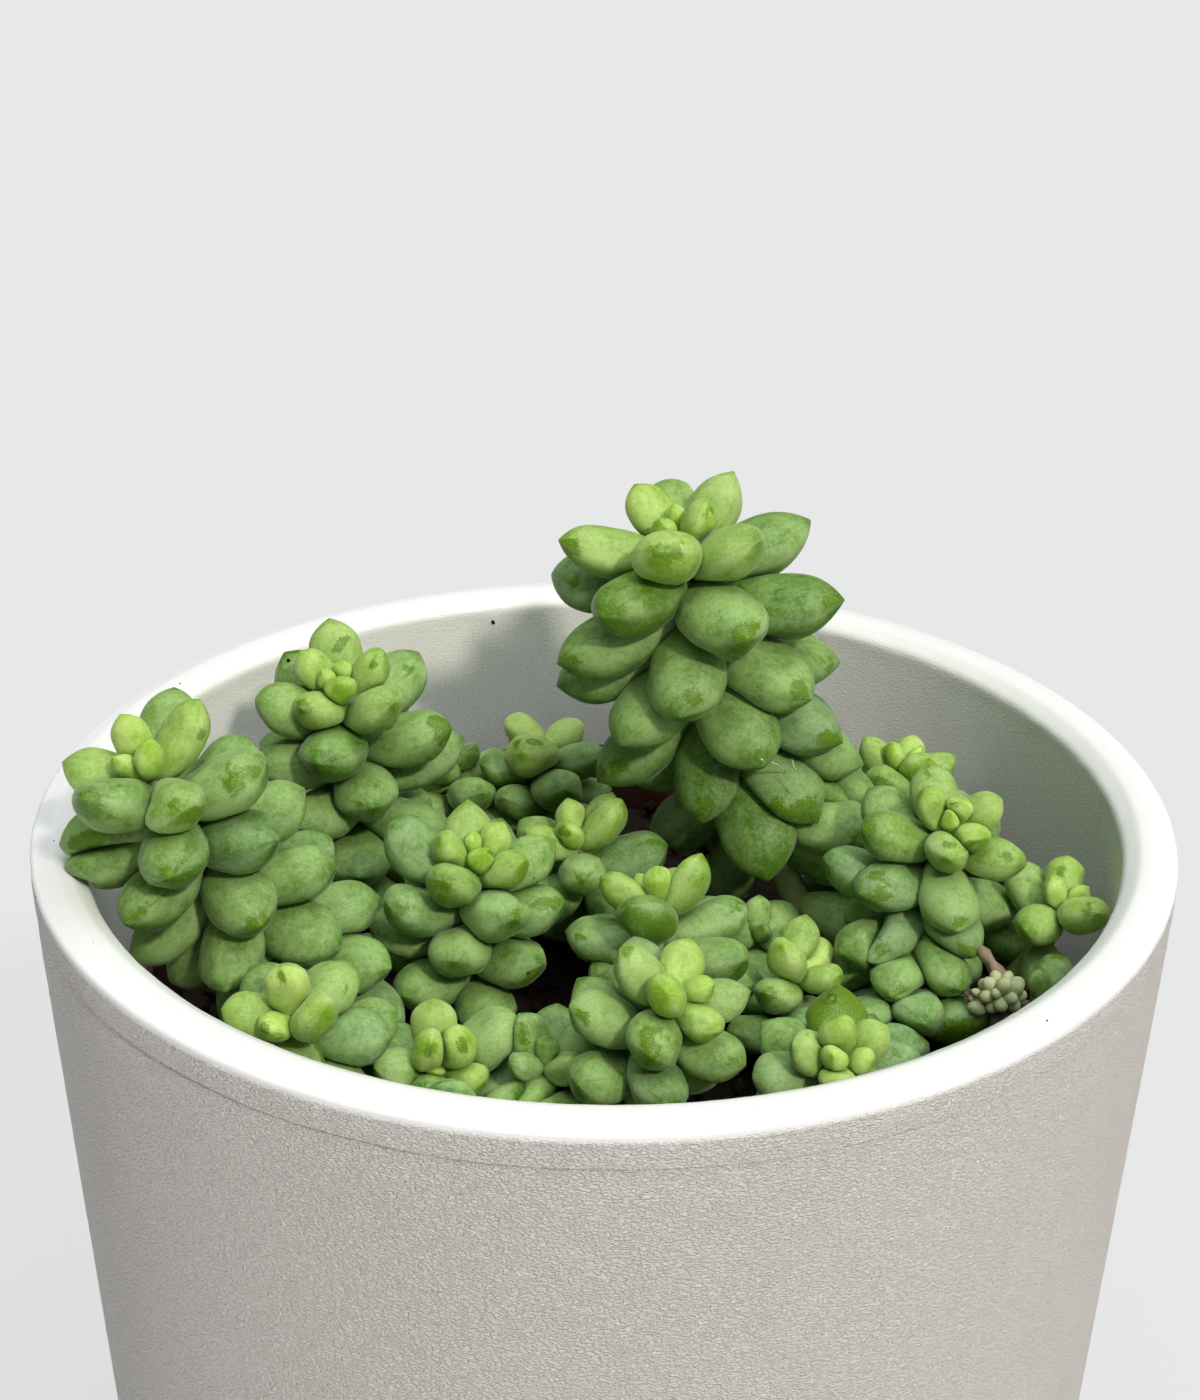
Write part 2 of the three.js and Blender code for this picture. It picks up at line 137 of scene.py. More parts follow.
# Each stem: foot on the soil, bend, tip, then leaves in the solid, further old leaves added here,
# full leaf length, step between leaves, first turn, hand, young leaves, opening from and to, droop.
STEMS = {
    "tall_stem": ((36, 8), (18.5, 25, 155), (11, 21.5, 189),
        54, 18, 23, 0.94, 80, 1, 12, (9, 87), 2.1),
    "left_arching_stem": ((-31, -12), (-58, -18, 150.5), (-63.5, -23.5, 172.5),
        30, 14, 17.7, 1.22, 341, 1, 8, (5, 80), 1.8),
    "back_left_stem": ((-42.5, 15), (-37.5, 27, 143.5), (-41, 17.5, 165.5),
        26, 10, 17.3, 1.41, 199, -1, 10.5, (0, 71), 1.9),
    "right_stem": ((41, -30), (48, 2.5, 138.5), (51.5, -6.5, 156),
        28, 14, 15.7, 0.99, 214, -1, 11, (2, 84), 3.6),
    "front_middle_stem": ((-4, -43.5), (3, -44.5, 137.5), (10, -48, 153),
        20, 8, 13.3, 1.27, 357, -1, 8, (17, 79), 0.8),
    "middle_stem": ((-18, -8.5), (-22, -6.5, 135.5), (-19, -9.5, 150),
        20, 8, 15.7, 1.13, 140, 1, 9.5, (8, 63), 1.9),
    "left_front_stem": ((-29.5, -34), (-39.5, -39, 135), (-41.5, -49, 149),
        16, 8, 12.6, 1.2, 230, -1, 6, (17, 88), 0.7),
    "front_left_stem": ((-12, -56), (-24.5, -32.5, 129), (-23, -40.5, 136.5),
        13, 8, 14.1, 1.18, 258, 1, 8.5, (7, 67), 1),
    "centre_stem": ((-2, -4), (14.5, -22.5, 133.5), (8.5, -12.5, 146),
        15, 10, 14.9, 1.29, 159, 1, 8.5, (-2, 80), 1.1),
    "centre_back_stem": ((3, 19), (-3, 10, 133), (-4, 9.5, 144),
        15, 6, 14.2, 1.19, 20, -1, 9.5, (4, 80), 1),
    "right_front_stem": ((38, -49), (30, -43.5, 134.5), (32, -54, 147),
        16, 8, 12.5, 1.25, 207, 1, 10, (16, 77), 1),
    "back_right_stem": ((44, 24), (47, 28, 134), (48.5, 30, 146.5),
        18, 6, 14, 1.24, 346, -1, 10, (8, 80), 1),
    "far_right_stem": ((58, -6), (67, -6, 136), (69, -8.5, 144),
        14, 6, 12.1, 1.18, 26, 1, 8, (11, 81), 1),
    "small_right_stem": ((28.5, -22), (27.5, -17, 129.5), (29, -16, 137),
        10, 4, 10.7, 1.24, 270, 1, 7, (12, 83), 1),
    "back_middle_stem": ((-11.5, 38), (-9.5, 45.5, 132), (-10.5, 47.5, 142),
        13, 4, 11.8, 1.16, 306, -1, 6.5, (16, 80), 0.8),
    "low_front_stem": ((-6, -30), (-7, -38, 130), (-8, -43, 138),
        10, 4, 11.5, 1.2, 60, 1, 7, (14, 80), 1),
    "low_right_stem": ((56, -14), (62, -18, 130), (64, -21, 136),
        10, 4, 11.5, 1.2, 120, -1, 7, (14, 80), 1),
    "low_back_stem": ((-24, 44), (-25, 46, 130), (-25.5, 48, 137),
        10, 4, 12, 1.2, 190, 1, 7, (14, 80), 1),
    "low_middle_stem": ((19, 2), (22, 0, 128), (24, -1, 134),
        9, 4, 12, 1.2, 250, -1, 7, (14, 80), 1),
    "dried_offset": ((55, -30), (57, -28, 128), (58, -25, 134),
        9, 0, 5.5, 0.5, 30, 1, 9, (10, 95), 3),
}

# Camera, found from the planter's rim in the photograph
IMAGE_WIDTH = 1200
IMAGE_HEIGHT = 1400
FOCAL_PIXELS = 2600
SENSOR_SIDE = 36
CAMERA_PLACE = np.array([0, -345.47, 341.72])
CAMERA_PITCH = math.radians(25.94)
CAMERA_YAW = math.radians(-0.14)
CAMERA_ROLL = math.radians(0.64)

FORWARD = np.array([
    math.sin(CAMERA_YAW) * math.cos(CAMERA_PITCH),
    math.cos(CAMERA_YAW) * math.cos(CAMERA_PITCH),
    -math.sin(CAMERA_PITCH),
])
RIGHT = np.array([math.cos(CAMERA_YAW), -math.sin(CAMERA_YAW), 0])
UP = np.cross(RIGHT, FORWARD)


def make_camera():
    data = bpy.data.cameras.new("camera")
    data.sensor_width = SENSOR_SIDE
    data.lens = FOCAL_PIXELS * SENSOR_SIDE / IMAGE_HEIGHT
    camera = bpy.data.objects.new("camera", data)
    bpy.context.scene.collection.objects.link(camera)
    cos_roll, sin_roll = math.cos(CAMERA_ROLL), math.sin(CAMERA_ROLL)
    across = cos_roll * RIGHT + sin_roll * UP
    upward = -sin_roll * RIGHT + cos_roll * UP
    turn = Matrix([across, upward, -FORWARD]).transposed().to_4x4()
    camera.matrix_world = Matrix.Translation(Vector(CAMERA_PLACE * MM)) @ turn
    data.clip_start = 0.01
    data.clip_end = 100
    bpy.context.scene.camera = camera


def pixels_of(points):
    """Where points in millimetres fall in the photograph, and how far away they are."""
    seen = points - CAMERA_PLACE
    far = seen @ FORWARD
    across = FOCAL_PIXELS * (seen @ RIGHT) / far
    down = -FOCAL_PIXELS * (seen @ UP) / far
    cos_roll, sin_roll = math.cos(CAMERA_ROLL), math.sin(CAMERA_ROLL)
    x = IMAGE_WIDTH / 2 + cos_roll * across - sin_roll * down
    y = IMAGE_HEIGHT / 2 + sin_roll * across + cos_roll * down
    return x, y, far


def ray_through(x, y):
    """The way from the camera through a pixel of the photograph."""
    cos_roll, sin_roll = math.cos(CAMERA_ROLL), math.sin(CAMERA_ROLL)
    right, down = x - IMAGE_WIDTH / 2, y - IMAGE_HEIGHT / 2
    across = cos_roll * right + sin_roll * down
    below = cos_roll * down - sin_roll * right
    way = FOCAL_PIXELS * FORWARD + across * RIGHT - below * UP
    return way / np.linalg.norm(way)


# Growth rule, the same as the solids follow


class StemCurve:
    """A bent stem line measured along its length."""

    def __init__(self, foot, bend, tip):
        self.points = [np.array([*foot, SOIL_TOP]), np.array(bend, float), np.array(tip, float)]
        self.steps = np.linspace(0, 1, 201)
        line = self.point(self.steps)
        hops = np.linalg.norm(np.diff(line, axis=0), axis=1)
        self.arc = np.concatenate([[0], np.cumsum(hops)])
        self.length = self.arc[-1]

    def point(self, t):
        t = np.asarray(t, float)[..., None]
        a, b, c = self.points
        return (1 - t) ** 2 * a + 2 * t * (1 - t) * b + t * t * c

    def at(self, share):
        t = np.interp(share * self.length, self.arc, self.steps)
        return self.point(t)

    def heading(self, share):
        t = np.interp(share * self.length, self.arc, self.steps)
        a, b, c = self.points
        way = 2 * (1 - t) * (b - a) + 2 * t * (c - b)
        return way / np.linalg.norm(way)


class Leaf:
    """One leaf: where it grows from, which way it points, its three sizes and its age, raised on low stems as painted
    shade.
    """

    def __init__(self, stem, k, rule, curve, share):
        _, _, _, self.in_solid, _, full, _, turn, hand, young, opening, droop = rule
        growth = min(1, (k + 1.5) / young)
        along = curve.heading(share)
        across = np.cross([0, 1, 0], along)
        across /= np.linalg.norm(across)
        beside = np.cross(along, across)
        opened = opening[0] + (opening[1] - opening[0]) * growth**0.8
        tilt = math.radians(min(FURTHEST_DROOP, opened + droop * max(0, k - young)))
        angle = math.radians(turn) + hand * GOLDEN_TURN * k
        outward = across * math.cos(angle) + beside * math.sin(angle)
        self.stem, self.k = stem, k
        self.extra = k >= self.in_solid
        self.root = curve.at(share)
        self.axis = along * math.cos(tilt) + outward * math.sin(tilt)
        self.upper = along * math.sin(tilt) - outward * math.cos(tilt)
        self.side = np.cross(self.upper, self.axis)
        self.length = full * (YOUNGEST_LEAF + (1 - YOUNGEST_LEAF) * growth)
        self.width = self.length * (LEAF_WIDTH_SHARE + LEAF_WIDTH_BASE / full)
        self.height = LEAF_FLATNESS * self.width
        self.plump = 1.03 + 0.08 * (1 - growth)
        self.point = BLUNTNESS[0] + (BLUNTNESS[1] - BLUNTNESS[0]) * (0.618 * k % 1)
        if (stem, k) in BARE_LEAVES:
            self.point = BARE_POINT
        self.powder = POWDER.get(stem, {}).get(k, 0)
        # The low stems' leaves take at least an old leaf's colour: painted shade
        self.age_and_shade = max(PAINTED_SHADE_AGE if stem.startswith("low") else 0, min(1, k / (0.85 * young)) ** 1.2)

    def along(self, shares):
        return self.root + np.outer(shares, self.axis * self.length)


def swelling(u):
    """How full a leaf is along its length, from its narrow root to its blunt point."""
    return np.sin(np.pi * np.clip(u, 0, 1) ** 1.5) ** 0.72


def fullness(u, point):
    """The fine leaf's swelling: a round shoulder at its root, sides that meet in its tip."""
    rise = np.sin(np.pi / 2 * np.clip(u / WIDEST, 0, 1)) ** 0.62
    return rise * (1 - np.clip((u - WIDEST) / (1 - WIDEST), 0, 1) ** point)


def depth_in(leaf, points, fine=False):
    """0 on a leaf's axis, 1 on its skin, and large beyond its ends."""
    offset = points - leaf.root
    u = offset @ leaf.axis / leaf.length
    inner = np.clip(u, 0.001, 0.999)
    full = leaf.plump * fullness(inner, leaf.point) if fine else swelling(inner)
    across = offset @ leaf.side / (leaf.width / 2 * full)
    above = offset @ leaf.upper / (leaf.height / 2 * full)
    return np.where((u > 0) & (u < 1), np.hypot(across, above), 9.0)


def leaves_of(name):
    rule = STEMS[name]
    curve = CURVES[name]
    count, step, young = rule[3] + rule[4], rule[6], rule[9]
    leaves, from_tip = [], 0
    for k in range(count):
        if from_tip > curve.length - STEM_RADIUS:
            break
        leaves.append(Leaf(name, k, rule, curve, 1 - from_tip / curve.length))
        from_tip += step * min(1, (k + 1.5) / young)
    return leaves


def meets_pots(leaf):
    shares = np.linspace(0.3, 1, 8)
    points = leaf.along(shares)
    half = leaf.height / 2 * swelling(shares)
    radius = np.hypot(points[:, 0], points[:, 1])
    bottom = points[:, 2] - half
    in_soil = bottom < SOIL_TOP + GAP
    in_nursery = (radius + half > NURSERY_RADIUS - 1) & (radius - half < NURSERY_RADIUS + 2)
    in_nursery &= bottom < NURSERY_TOP + LIP_CLEARANCE
    in_lip = (radius + half > INNER_RADIUS - LIP_CLEARANCE) & (bottom < PLANTER_HEIGHT + LIP_CLEARANCE)
    past = radius + half > PLANTER_RADIUS - LIP_CLEARANCE
    return bool((in_soil | in_nursery | in_lip | past).any())


def meets_stalk(leaf):
    points = leaf.along(SAMPLE_SHARES)
    for name, curve in CURVES.items():
        if name == leaf.stem:
            continue
        line = curve.at(np.linspace(0, 1, 11))
        near = np.linalg.norm(points[:, None] - line[None], axis=2).min()
        if near < STEM_RADIUS + leaf.height / 4:
            return True
    return False


def crowds(leaf, other):
    own, theirs = leaf.along(SAMPLE_SHARES), other.along(SAMPLE_SHARES)
    return bool((depth_in(other, own) < CROWDING).any() or (depth_in(leaf, theirs) < CROWDING).any())


def grown_leaves():
    """All leaves that find room, the solids' own first, then the further old ones."""
    candidates = [leaf for name in STEMS for leaf in leaves_of(name)]
    candidates.sort(key=lambda leaf: (leaf.extra, leaf.k))
    kept = []
    for leaf in candidates:
        if (leaf.stem, leaf.k) not in FREE_LEAVES and (meets_pots(leaf) or meets_stalk(leaf)):
            continue
        rivals = [other for other in kept if other.stem != leaf.stem]
        if not any(crowds(leaf, other) for other in rivals):
            kept.append(leaf)
    kept = [leaf for leaf in kept if (leaf.stem, leaf.k) not in MISSING_LEAVES]
    for leaf in kept:
        if leaf.k in LEAF_TIPS.get(leaf.stem, ()):
            aim(leaf, *LEAF_TIPS[leaf.stem][leaf.k])
    return kept


# Where the tips of leaves are seen: pixel in the photograph and, if needed, how much larger they are
LEAF_TIPS = {
    "tall_stem": {
        0: (674, 503, 0.85), 1: (660, 520, 0.8), 2: (707, 501), 3: (634, 484), 4: (656, 552, 1.3),
        5: (734, 471), 6: (558, 540), 7: (760, 540), 8: (665, 482), 9: (600, 617), 10: (811, 520),
        11: (551, 574), 12: (749, 640), 13: (738, 532), 14: (557, 664), 15: (845, 600), 17: (680, 718), 18: (818, 592),
        19: (556, 686), 20: (812, 700), 23: (841, 662), 25: (764, 768), 27: (597, 782), 28: (843, 743),
        30: (702, 824, 0.9), 31: (838, 724), 33: (818, 823), 38: (769, 881, 1.05), 41: (853, 806, 0.75),
        45: (655, 838), 53: (716, 893, 0.95),
    },
    "left_arching_stem": {
        0: (143, 745, 1.1), 1: (120, 714), 2: (112, 757, 0.7), 3: (200, 699), 4: (62, 762), 5: (182, 812),
        6: (174, 687), 7: (80, 798), 8: (267, 762), 9: (59, 845), 10: (169, 878), 11: (247, 736),
        12: (64, 868), 15: (124, 925), 17: (135, 905), 20: (130, 962), 23: (226, 993), 25: (170, 982),
        34: (392, 968),
    },
    "back_left_stem": {
        1: (343, 660, 0.8), 4: (383, 650), 5: (300, 708), 6: (329, 618), 7: (393, 703), 8: (255, 700),
        9: (419, 652), 10: (317, 764), 11: (284, 652), 15: (372, 808), 17: (464, 737),
    },
    "right_stem": {
        1: (963, 800), 2: (985, 838, 1.1), 4: (1002, 798), 5: (949, 859), 6: (929, 763), 8: (861, 828),
        9: (990, 803), 10: (958, 932), 11: (868, 788), 13: (857, 893), 15: (975, 957), 16: (822, 857),
        17: (1014, 905, 1.1), 18: (868, 962), 20: (978, 978), 23: (960, 990), 26: (892, 997),
        36: (1002, 1018), 39: (900, 1052),
    },
    "front_middle_stem": {
        0: (714, 984, 1.15), 1: (666, 992, 1.4), 2: (690, 938, 1.2), 3: (720, 1032), 4: (620, 948, 1.1),
        5: (751, 991), 6: (651, 1057), 7: (634, 936), 8: (746, 1066), 9: (569, 1006),
    },
    "middle_stem": {3: (441, 836), 8: (388, 822)},
    "centre_stem": {
        1: (655, 866), 2: (675, 868), 3: (600, 876), 4: (702, 853), 6: (629, 906), 7: (744, 903), 8: (565, 931),
        16: (590, 966, 0.8),
    },
    "centre_back_stem": {0: (588, 824, 0.6), 3: (622, 799, 1.2), 5: (613, 792)},
    "left_front_stem": {
        0: (262, 1028, 1.2), 1: (283, 966, 1.3), 2: (323, 1010, 1.2), 3: (221, 1009), 4: (353, 963),
        6: (250, 967),
    },
    "front_left_stem": {
        1: (466, 1038, 1.4), 2: (430, 1044, 1.2), 3: (484, 1082), 4: (433, 998), 5: (374, 1068),
        6: (517, 1016, 1.15), 8: (425, 1088, 0.8),
    },
    "right_front_stem": {
        0: (833, 1056, 1.35), 2: (838, 1018, 1.25), 5: (792, 1044), 7: (839, 984, 1.2), 8: (752, 1078),
    },
    "small_right_stem": {0: (803, 963, 0.5), 1: (823, 940, 1.5), 2: (783, 945, 1.4), 4: (806, 914)},
    "far_right_stem": {
        2: (1100, 913, 1.45), 3: (1068, 855, 1.1), 4: (1024, 930, 1.1), 9: (1050, 997), 11: (990, 922, 1.15),
    },
    "back_right_stem": {22: (783, 886)},
    "back_middle_stem": {
        0: (548, 745, 0.8), 1: (511, 716, 1.45), 2: (578, 723, 1.35), 3: (522, 752, 1.45), 8: (566, 790, 1.2),
    },
}
# A leaf that leans over the lip
FREE_LEAVES = {("left_arching_stem", 12)}
# Leaves that point at the viewer
FACING_LEAVES = {("tall_stem", 38), ("tall_stem", 25), ("tall_stem", 30), ("front_middle_stem", 1)}
# Leaves that have dropped off
MISSING_LEAVES = {
    ("tall_stem", 35), ("tall_stem", 43), ("tall_stem", 46), ("tall_stem", 48), ("tall_stem", 54),
    ("front_left_stem", 11), ("small_right_stem", 6), ("middle_stem", 20), ("centre_stem", 21),
    ("centre_stem", 24), ("centre_back_stem", 14), ("far_right_stem", 19),
    *(("low_right_stem", k) for k in (2, 5, 8, 10, 13)),
    *(("dried_offset", k) for k in range(9)),
}
# A leaf without bloom and with a pointed tip
BARE_LEAVES = {("right_front_stem", 7)}
# Leaves drawn paler or darker than most, by raising or lowering their share of the powdery bloom
POWDER = {
    "tall_stem": {9: -0.45, 15: -0.4, 22: 0.3, 30: -0.3, 33: -0.1, 38: -0.35},
    "left_arching_stem": {8: 0.3, 10: -0.2, 13: -0.2},
    "back_left_stem": {2: -0.3, 10: -0.3},
    "right_stem": {8: -0.25, 10: 0.45, 18: 0.3},
    "front_middle_stem": {1: -0.3, 4: 0.15, 9: 0.2, 14: 0.1},
    "middle_stem": {6: -0.2, 9: 0.25, 14: 0.25},
    "centre_stem": {6: -0.4, 7: 0.2},
    "left_front_stem": {1: 0.15},
    "front_left_stem": {4: 0.2, 6: 0.3},
}


def aim(leaf, x, y, size=1):
    """Turns a leaf about its root until its tip is seen at a pixel."""
    leaf.length *= size
    leaf.width *= size
    leaf.height *= size
    way = ray_through(x, y)
    offset = CAMERA_PLACE - leaf.root
    middle = -(offset @ way)
    off_ray = np.linalg.norm(offset + middle * way)
    leaf.length = min(max(leaf.length, off_ray * 1.02), 1.2 * leaf.length)
    half = math.sqrt(max(0, leaf.length**2 - off_ray**2))
    tip = leaf.root + leaf.axis * leaf.length
    choices = [CAMERA_PLACE + (middle + side * half) * way for side in (-1, 1)]
    wanted = CAMERA_PLACE if (leaf.stem, leaf.k) in FACING_LEAVES else tip
    nearest = min(choices, key=lambda choice: np.linalg.norm(choice - wanted))
    axis = nearest - leaf.root
    leaf.axis = axis / np.linalg.norm(axis)
    upper = leaf.upper - (leaf.upper @ leaf.axis) * leaf.axis
    leaf.upper = upper / np.linalg.norm(upper)
    leaf.side = np.cross(leaf.upper, leaf.axis)


SAMPLE_SHARES = np.array([0.4, 0.55, 0.7, 0.85, 0.95])
CURVES = {name: StemCurve(*rule[:3]) for name, rule in STEMS.items()}

# Fine leaves

LEAF_RINGS = 22
LEAF_SIDES = 24
LEAF_SAG = 0.035
PRESS_MARGIN = 0.015
PRESS_STEPS = 10
LUMPINESS = 0.011
KEEL_HEIGHT = 0.05
BARE_RUB = 0.8
BARE_POINT = 2.1


class Skin:
    """A leaf's skin as rings of points, with what its colour needs at each point."""

    def __init__(self, leaf, chance):
        self.leaf = leaf
        share = np.arange(1, LEAF_RINGS + 1) / (LEAF_RINGS + 1)
        u = (1 - (1 - share) ** 1.35)[:, None]
        angle = (np.arange(LEAF_SIDES) / LEAF_SIDES * 2 * np.pi)[None]
        roll = angle + math.radians(chance.uniform(-7, 7))
        keen = 2 - 0.16 * np.clip((u - 0.45) / 0.55, 0, 1)
        cos_roll, sin_roll = np.cos(roll), np.sin(roll)
        squared = (np.abs(cos_roll) ** keen + np.abs(sin_roll) ** keen) ** (-1 / keen)
        keel = KEEL_HEIGHT * np.exp(-(((roll % (2 * np.pi)) - 1.5 * np.pi) / 0.4) ** 2) * np.sin(np.pi * u)
        lumps = self.lumps(u, roll, chance)
        full = leaf.plump * fullness(u, leaf.point) * (squared + keel + lumps)
        flat = np.where(sin_roll > 0, 0.93, 1.05)
        across = leaf.width / 2 * full * cos_roll
        above = leaf.height / 2 * full * sin_roll * flat
        sag = -4 * LEAF_SAG * leaf.length * u * (1 - u)
        self.centre = leaf.root + (u * leaf.length)[..., None] * leaf.axis + sag[..., None] * leaf.upper
        self.centre = np.broadcast_to(self.centre, (LEAF_RINGS, LEAF_SIDES, 3)).copy()
        self.points = self.centre + across[..., None] * leaf.side + above[..., None] * leaf.upper
        self.u = np.broadcast_to(u, across.shape).copy()
        self.face = np.broadcast_to(sin_roll, across.shape).copy()
        self.side = np.broadcast_to(cos_roll, across.shape).copy()
        self.rub = self.tip_rub(u, angle, chance)
        self.chance = chance.uniform()
        self.tip = leaf.root + leaf.axis * leaf.length
        self.start = leaf.root.copy()
        self.points = self.centre + self.facets(u, roll, chance)[..., None] * (self.points - self.centre)
        if (leaf.stem, leaf.k) in BARE_LEAVES:
            self.rub = np.maximum(self.rub, BARE_RUB)

    @staticmethod
    def lumps(u, roll, chance):
        """Slow swells that make no two leaves alike."""
        total = 0
        for _ in range(4):
            around, along = chance.integers(1, 4), chance.uniform(1, 5)
            total = total + np.cos(around * roll + along * u + chance.uniform(0, 2 * np.pi))
        return LUMPINESS * total

    @staticmethod
    def facets(u, roll, chance):
        """Soft flat faces, as leaves have that grew against others."""
        keep = np.ones_like(u + roll)
        for _ in range(3):
            turn, at, reach = chance.uniform(0, 2 * np.pi), chance.uniform(0.4, 0.95), chance.uniform(0.2, 0.4)
            flat = chance.uniform(0.82, 0.93) / np.maximum(np.cos(roll - turn), 0.5)
            near = np.exp(-(((u - at) / reach) ** 2))
            keep = np.minimum(keep, 1 - near * np.maximum(0, 1 - flat))
        return keep

    @staticmethod
    def tip_rub(u, angle, chance):
        """A worn patch near the tip of about half of the leaves."""
        strength = max(0, chance.uniform(-0.9, 0.85))
        at_u, at_angle = chance.uniform(0.8, 1.0), chance.uniform(0, 2 * np.pi)
        turned = np.abs((angle - at_angle + np.pi) % (2 * np.pi) - np.pi)
        spread_u, spread_angle = chance.uniform(0.06, 0.2), chance.uniform(0.4, 1.3)
        return strength * np.exp(-(((u - at_u) / spread_u) ** 2) - (turned / spread_angle) ** 2)

    def press(self, others):
        """Flattens the skin where it meets other leaves, half way between them."""
        flat_points = self.points.reshape(-1, 3)
        flat_centre = self.centre.reshape(-1, 3)
        keep = np.ones(len(flat_points))
        for other in others:
            inside = np.flatnonzero(depth_in(other, flat_points, True) < 1)
            if not len(inside):
                continue
            spoke = flat_points[inside] - flat_centre[inside]
            low, high = np.zeros(len(inside)), np.ones(len(inside))
            for _ in range(PRESS_STEPS):
                middle = (low + high) / 2
                met = depth_in(other, flat_centre[inside] + middle[:, None] * spoke, True) < middle
                high = np.where(met, middle, high)
                low = np.where(met, low, middle)
            keep[inside] = np.minimum(keep[inside], low * (1 - PRESS_MARGIN))
        keep = keep.reshape(self.u.shape)
        free_root = np.clip((self.u - 0.14) / 0.2, 0, 1)
        keep = 1 - (1 - keep) * free_root
        padded = np.concatenate([keep[:1], keep, keep[-1:]])
        keep = (padded[:-2] + 2 * padded[1:-1] + padded[2:]) / 4
        keep = (np.roll(keep, 1, 1) + 2 * keep + np.roll(keep, -1, 1)) / 4
        self.points = self.centre + keep[..., None] * (self.points - self.centre)
        self.pressed = 1 - keep
        if keep[-1].min() < 0.85:
            self.tip = self.points[-1].mean(0)

    def clear_walls(self):
        """Keeps the skin off the planter's inside, the nursery pot's rim and the soil."""
        for points in (self.points.reshape(-1, 3), self.tip[None]):
            radius = np.hypot(points[:, 0], points[:, 1])
            under_lip = (points[:, 2] < PLANTER_HEIGHT) & (radius > INNER_RADIUS - GAP)
            over_collar = (points[:, 2] < NURSERY_TOP) & (radius > NURSERY_RADIUS - NURSERY_WALL - GAP)
            over_collar &= radius < NURSERY_RADIUS + GAP
            limit = np.where(over_collar, NURSERY_RADIUS - NURSERY_WALL - GAP, INNER_RADIUS - GAP)
            shrink = np.where(under_lip | over_collar, limit / np.maximum(radius, 1), 1)
            points[:, :2] *= shrink[:, None]
            points[:, 2] = np.maximum(points[:, 2], SOIL_TOP + GAP)


def closed_rings(rings, start, end):
    """Points and faces of a closed body made of rings with a point at each end."""
    count, sides = rings.shape[:2]
    points = np.concatenate([[start], rings.reshape(-1, 3), [end]])
    last = len(points) - 1
    faces = []
    for j in range(sides):
        after = (j + 1) % sides
        faces.append((0, 1 + after, 1 + j))
        faces.append((last, last - sides + j, last - sides + after))
    for i in range(count - 1):
        for j in range(sides):
            after = (j + 1) % sides
            a, b = 1 + i * sides + j, 1 + i * sides + after
            faces.append((a, b, b + sides, a + sides))
    return points, faces


def all_skins():
    kept = grown_leaves()
    names = list(STEMS)
    skins = [Skin(leaf, np.random.default_rng([names.index(leaf.stem), leaf.k])) for leaf in kept]
    middles = np.array([leaf.root + leaf.axis * leaf.length / 2 for leaf in kept])
    reach = np.array([leaf.length * 0.62 for leaf in kept])
    for i, skin in enumerate(skins):
        apart = np.linalg.norm(middles - middles[i], axis=1)
        near = np.flatnonzero(apart < reach + reach[i])
        skin.press([kept[j] for j in near if j != i])
        skin.clear_walls()
    return skins


# Rubbed places on leaves, where the powdery bloom is gone: pixel in the photograph, radius in mm
RUB_REACH = 7
RUB_MARKS = [
    (92, 795, 3.0), (85, 845, 3.6), (170, 880, 1.6), (175, 797, 1.4), (255, 925, 3.2), (140, 915, 2.6),
    (262, 770, 2.4), (205, 740, 2.2), (305, 905, 2.2), (375, 800, 2.4), (295, 700, 2.4), (450, 735, 2.6),
    (566, 545, 2.6), (570, 585, 2.2), (655, 555, 3.4), (570, 665, 2.8), (612, 615, 2.2), (745, 635, 3.4),
    (836, 603, 2.8), (700, 700, 2.6), (807, 690, 2.4), (835, 665, 2.6), (830, 740, 2.6), (665, 740, 2.0),
    (765, 755, 2.2), (705, 800, 3.0), (615, 770, 2.4), (810, 805, 2.4), (790, 860, 2.0), (800, 690, 2.0),
    (520, 915, 2.0), (400, 905, 2.2), (445, 885, 2.2), (560, 835, 1.6), (575, 880, 1.8), (655, 835, 1.6),
    (578, 935, 1.6), (738, 905, 1.6), (655, 1045, 2.2), (735, 1065, 2.0), (575, 1015, 2.2), (690, 985, 1.6),
    (430, 1055, 1.8), (465, 1040, 2.0), (518, 1030, 2.0), (275, 977, 1.6), (262, 1025, 1.8), (325, 1045, 2.2),
    (350, 985, 1.6), (875, 870, 2.2), (880, 895, 2.2), (880, 945, 2.6), (960, 915, 2.2), (945, 840, 1.6),
    (1010, 855, 1.4), (1085, 905, 2.4), (1060, 865, 1.8), (900, 985, 2.0), (905, 1045, 2.4), (800, 885, 2.6),
    (828, 755, 1.8), (765, 990, 2.0), (835, 1050, 1.2), (948, 800, 1.4), (925, 770, 1.6), (535, 735, 1.6),
    (842, 994, 4.5), (860, 1012, 4.0), (960, 1038, 5.0), (985, 1026, 4.0), (510, 740, 1.6), (1035, 960, 1.6),
    (960, 955, 1.8), (345, 640, 1.6), (370, 660, 1.6), (410, 665, 1.8),
]


